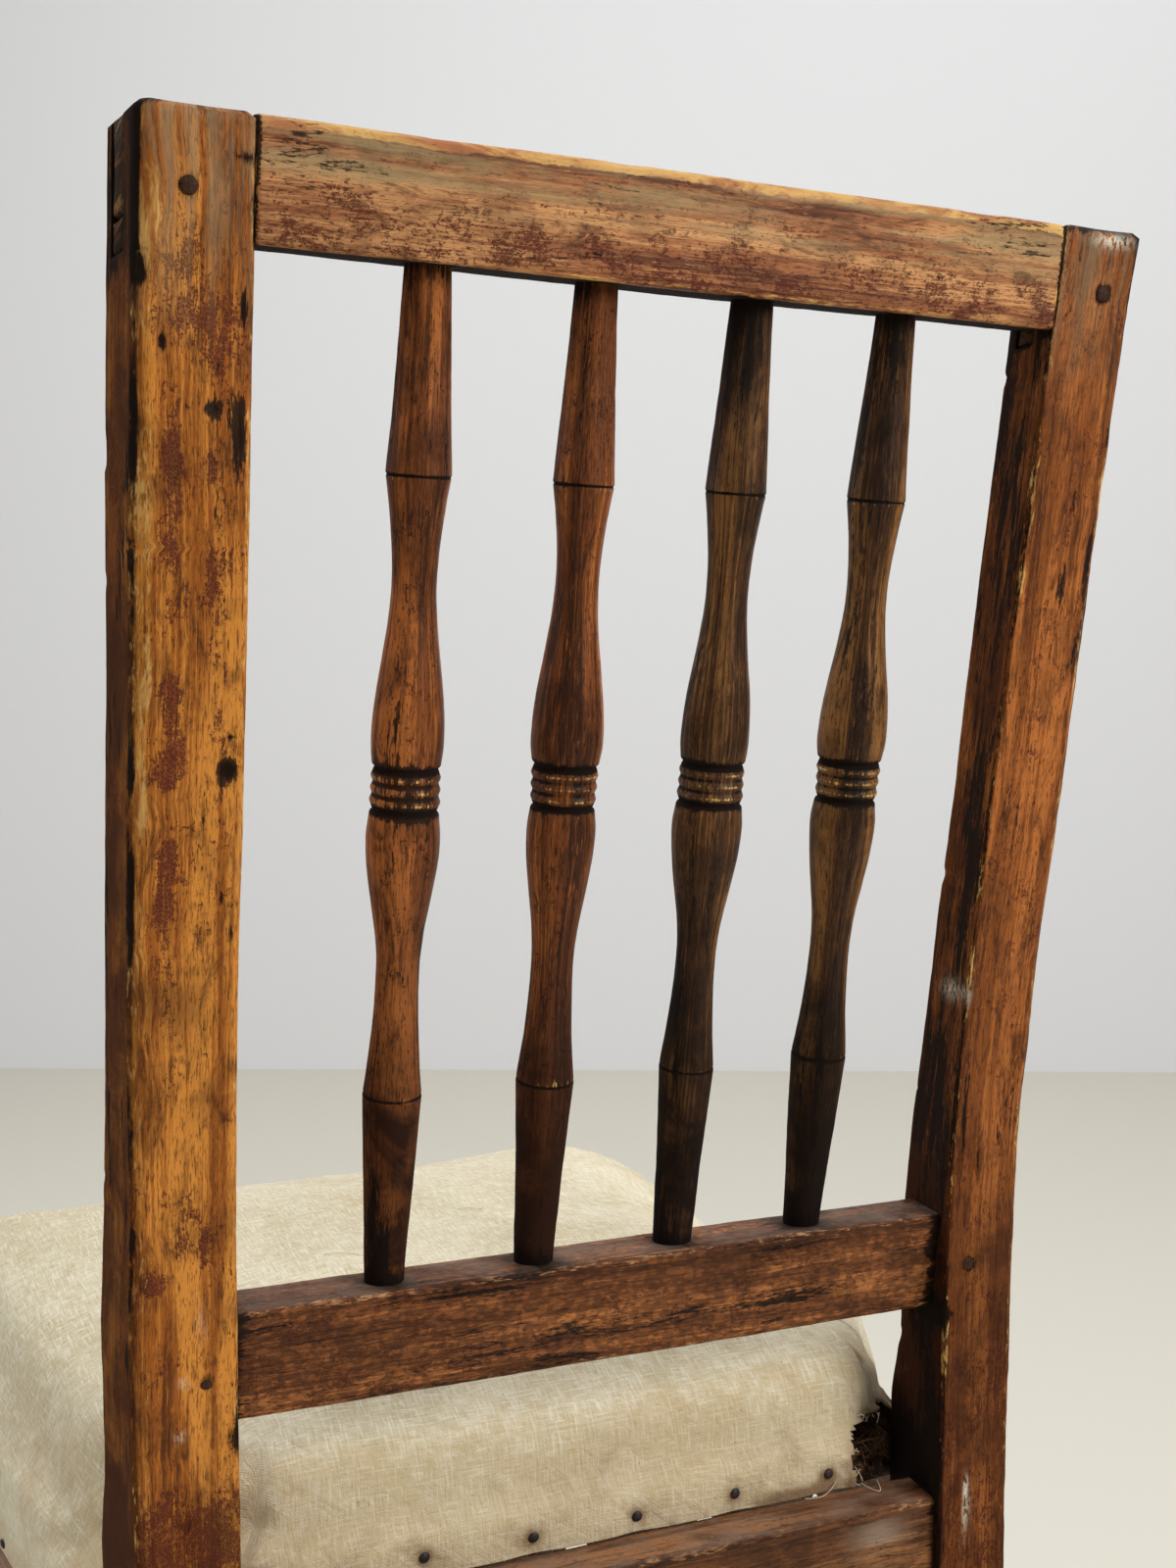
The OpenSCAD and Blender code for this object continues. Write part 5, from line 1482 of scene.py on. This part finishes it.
# %% Tacks and pegs in place
tack = lathe_piece("tack", [(0.0002, -0.0060), (0.0007, -0.0050), (0.0007, -0.0002), (0.0021, 0.0),
                            (0.0023, 0.0002), (0.0022, 0.0005), (0.0016, 0.0009), (0.0007, 0.0011)], seed=3)
peg = lathe_piece("peg", [(0.0022, -0.008), (0.0029, -0.006), (0.0029, 0.0002), (0.0026, 0.0006),
                          (0.0012, 0.0008)], seed=5)
half_pi, TACK_Z, WEB_TACK = math.pi / 2, 0.351, 0.012
set_on("tacks_rear", tack, [((x, 0.1500, 0.394 + 0.0008 * math.sin(360 * x)), (-half_pi, 0, 0))
                            for x in tack_x], 0.15, 1, m_iron, "iron", "cover_tacks_rear")
sides = []
for sx in (1, -1):
    for k in range(8):
        x, y = local(0.0014, 0.050 + 0.014 + TACK_GAP * k)
        sides.append(((sx * x, y, TACK_Z), (0, sx * half_pi, sx * FLARE)))
set_on("tacks_sides", tack, sides, 0.15, 2, m_iron, "iron", "cover_tacks_sides")
set_on("tacks_front", tack, [(((k - 4) * TACK_GAP, FRONT - 0.0014, TACK_Z), (half_pi, 0, 0))
                             for k in range(9)], 0.15, 3, m_iron, "iron", "cover_tacks_front")
webs = []
for x in long_x:
    for s in (-WEB_TACK, WEB_TACK):
        webs.append(((x + s, FRONT + 0.013, zb + 0.0013), (0, 0, 0)))
        webs.append(((x + s, 0.1333, zb + 0.0095), (half_pi, 0, 0)))
for y in cross:
    for s in (-WEB_TACK, WEB_TACK):
        for sx in (1, -1):
            webs.append(((sx * (float(outer_x(y)) - 0.0135), y + s, zb + 0.0013), (0, 0, 0)))
set_on("tacks_webbing", tack, webs, 0.12, 4, m_iron, "iron", "webbing_tacks")
zt = 0.901
m_peg = wood("peg_wood", srgb(96, 62, 40), srgb(62, 38, 24), srgb(28, 18, 12), flakes=0.0, streaks=0.55,
             worn=0.2, dust=0.0)
set_on("pegs_top", peg, [((sx * 0.179, float(rake_y(zt)) + 0.0001, zt), (-half_pi - LEAN, 0, 0))
                         for sx in (1, -1)], 0.03, 5, m_peg, "raw_wood", "top_rail_pegs")
set_on("pegs_mid", peg, [((sx * 0.169, BACK - 0.0001, 0.4935), (-half_pi, 0, 0)) for sx in (1, -1)], 0.03,
       6, m_peg, "raw_wood", "mid_rail_pegs")
bpy.data.objects.remove(tack)
bpy.data.objects.remove(peg)
nodes["strip_nails"].data.materials.clear()
nodes["strip_nails"].data.materials.append(m_iron)
t = np.linspace(-0.137, 0.137, 160)
rows = ([(t, 0.14792 + 0 * t, z + 0 * t) for z in (0.3999, 0.3853)]
        + [(t, 0.13502 + 0 * t, z + 0 * t) for z in (0.3853, 0.3999)])
keep(bar("tack_strip", quad(rows), 0.0012, m_raw, 91, 6, rough=0.0003, grime=lambda V: 0.45
         + 0.3 * noise(V, 0.006, 4), dents=[((-0.137, 0.148, 0.397), (0.006, 0.008, 0.004), 0.003),
                                            ((-0.134, 0.148, 0.387), (0.004, 0.008, 0.003), 0.002)]),
     "raw_wood", "rear_tack_strip")
print("set pieces done")

# %% [markdown]
# ## Loose threads and fibres
# Fine threads curl from the tear and lie on the seat, and matted fibre shows in the hollow behind it.

# %% Threads and fibres
def threads(name, lines, thick, material):
    cu = bpy.data.curves.new(name, "CURVE")
    cu.dimensions, cu.use_fill_caps = "3D", True
    cu.bevel_depth, cu.bevel_resolution, cu.resolution_u = thick, 1, 6
    for line in lines:
        sp = cu.splines.new("NURBS")
        sp.points.add(len(line) - 1)
        for q, p in zip(sp.points, line):
            q.co = (*p, 1)
        sp.use_endpoint_u, sp.order_u = True, 3
    tmp = new_object(name, cu)
    me = evaluated_mesh(tmp)
    bpy.data.objects.remove(tmp)
    me.materials.clear()
    me.materials.append(material)
    ob = new_object(name, me)
    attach(ob, "root")
    return ob


rng = np.random.default_rng(12)
lines = []
for k in range(90):
    a = np.array([-0.138 - 0.012 * rng.random(), 0.132 + 0.006 * rng.random(),
                  0.388 + 0.014 * rng.random()])
    turns = rng.normal(0, 0.006, (4, 3)) * np.array([0.7, 0.5, 1.0])
    lines.append([a] + list(a + np.cumsum(turns, 0)))
lines = [np.clip(line, (-0.153, -1.0, 0.3868), (-0.134, 0.1455, 0.404)) for line in lines]
threads("stuffing_fibres", lines, 0.00022, m_stuffing)


cover_bvh = BVHTree.FromObject(cover, bpy.context.evaluated_depsgraph_get())


def on_cover(x, y):
    """The point of the seat's top over a place in plan."""
    return np.array(cover_bvh.ray_cast(Vector((x, y, 0.5)), Vector((0, 0, -1)))[0])


def on_wall(x, z, out=0.0006):
    """A point as far out as given from the cover's rear wall, or from the tear's hollow."""
    hit = cover_bvh.ray_cast(Vector((x, 0.30, z)), Vector((0, -1, 0)))[0]
    return (x, (hit.y if hit is not None and hit.y > 0.10 else 0.135) + out, z)


loops = [[on_wall(-0.1340, 0.4170), on_wall(-0.1352, 0.4190, 0.002), on_wall(-0.1345, 0.4215, 0.003),
          on_wall(-0.1325, 0.4205, 0.002), on_wall(-0.1322, 0.4180)],
         [on_wall(-0.1370, 0.4130), on_wall(-0.1392, 0.4115, 0.003), on_wall(-0.1395, 0.4145, 0.004),
          on_wall(-0.1375, 0.4165, 0.003), on_wall(-0.1360, 0.4150)],
         [(-0.1420, 0.1500, 0.3870), (-0.1400, 0.1560, 0.3862), (-0.1375, 0.1600, 0.3861),
          (-0.1350, 0.1560, 0.3862), (-0.1330, 0.1510, 0.3872)],
         [on_wall(-0.1290, 0.4000), on_wall(-0.1305, 0.3975, 0.002), (-0.1315, 0.1530, 0.3930),
          (-0.1325, 0.1525, 0.3890)], [(-0.1200, 0.1500, 0.3900), (-0.1150, 0.1530, 0.3872),
                                       (-0.1080, 0.1545, 0.3862), (-0.1020, 0.1530, 0.3868)]]
rng = np.random.default_rng(5)
for k in range(26):
    if k < 17:  # from the tear's side edge; the rest hang from its top edge
        z = 0.3885 + 0.024 * rng.random()
        a = np.array(on_wall(-0.1285 - 0.005 * (z > 0.405), z, -0.0003))
        way = np.array([-1.0, 0.3 * rng.normal(), 0.6 * rng.normal()])
    else:
        a = np.array(on_wall(-0.134 - 0.02 * rng.random(), 0.4115, -0.0003))
        way = np.array([0.6 * rng.normal(), 0.3, -1.0])
    long = 0.0010 + 0.0022 * rng.random()
    curl = rng.normal(0, 0.0006, 3)
    loops.append([a, a + way * long * 0.5 + curl, a + way * long + 2.2 * curl])
for x, y, long in ((0.02, 0.03, 0.012), (0.05, -0.02, 0.016), (-0.03, -0.06, 0.012), (0.10, 0.02, 0.010),
                   (0.15, -0.05, 0.012), (0.08, 0.09, 0.008)):
    a, b = on_cover(x, y), on_cover(x + long, y - 0.4 * long)
    loops.append([a + np.array([0, 0, 0.0002]), (a + b) / 2 + np.array([0.002, 0.001, 0.0022]),
                  b + np.array([0, 0, 0.0004])])
threads("loose_threads", loops, 0.00018, m_thread)
print("threads:", len(lines) + len(loops))

# %% [markdown]
# ## Floor, backdrop, lights and camera
# A pale floor meets a light grey wall well behind the chair. Large soft lights stand over the viewer's
# shoulder and to the side, and the camera looks down from behind the chair.

# %% Floor and backdrop
def flat_stage(name, corners, color):
    me = bpy.data.meshes.new(name)
    me.from_pydata(corners, [], [(0, 1, 2, 3)])
    ob = new_object(name, me)
    m, t, p = new_material(name)
    p.inputs["Base Color"].default_value = color
    p.inputs["Roughness"].default_value = 0.9
    me.materials.append(m)


cam_at = Vector((0.3089, 0.8249, 0.7455))
fw = Vector((-0.42222, -0.89986, -0.10947))
right = Vector((-0.90546, 0.42442, 0.00347))
up = Vector((-0.04334, -0.10058, 0.99398))
flat_fw = Vector((fw.x, fw.y, 0)).normalized()
flat_r = Vector((flat_fw.y, -flat_fw.x, 0))
far = cam_at + flat_fw * 3.55
flat_stage("floor", [(-6, -6, 0), (6, -6, 0), (6, 6, 0), (-6, 6, 0)], srgb(216, 212, 200))
wall = [far + flat_r * s for s in (-5, 5)]
flat_stage("backdrop", [(wall[0].x, wall[0].y, 0), (wall[1].x, wall[1].y, 0), (wall[1].x, wall[1].y, 5),
                        (wall[0].x, wall[0].y, 5)], srgb(227, 228, 231))

print("backdrop at", round(far.x, 3), round(far.y, 3))

# %% Camera
cam = bpy.data.cameras.new("camera")
cam.lens, cam.sensor_width, cam.sensor_fit = 42.006, 36.0, "AUTO"
cam.shift_x, cam.shift_y = -0.01614, 0.06866
cam.clip_start = 0.02
cam_ob = new_object("camera", cam)
cam_ob.matrix_world = Matrix.Translation(cam_at) @ Matrix((right, up, -fw)).transposed().to_4x4()
bpy.context.scene.camera = cam_ob

print("camera at", tuple(cam_at))

# %% Lights and world
def lamp(name, at, aim, size, watts):
    li = bpy.data.lights.new(name, "AREA")
    li.shape, li.size, li.size_y, li.energy = "RECTANGLE", size[0], size[1], watts
    ob = new_object(name, li)
    ob.location = at
    ob.rotation_euler = (Vector(aim) - Vector(at)).to_track_quat("-Z", "Y").to_euler()


lamp("key", (-1.3, 2.1, 1.9), (0, 0, 0.6), (1.3, 1.3), 55)
lamp("top", (0.1, 0.0, 2.8), (0, 0, 0.4), (2.2, 2.2), 29)
lamp("rim", (1.9, -0.8, 1.7), (0.1, -0.1, 0.45), (1.0, 1.2), 12)
lamp("wall_light", (-1.0, -1.0, 2.6), (far.x, far.y, 0.7), (3.6, 2.4), 21)
world = bpy.data.worlds.new("world")
world.use_nodes = True
sky = world.node_tree.nodes["Background"].inputs
sky["Color"].default_value = srgb(236, 234, 229)
sky["Strength"].default_value = 0.31
bpy.context.scene.world = world
bpy.context.scene.view_settings.view_transform = "Standard"
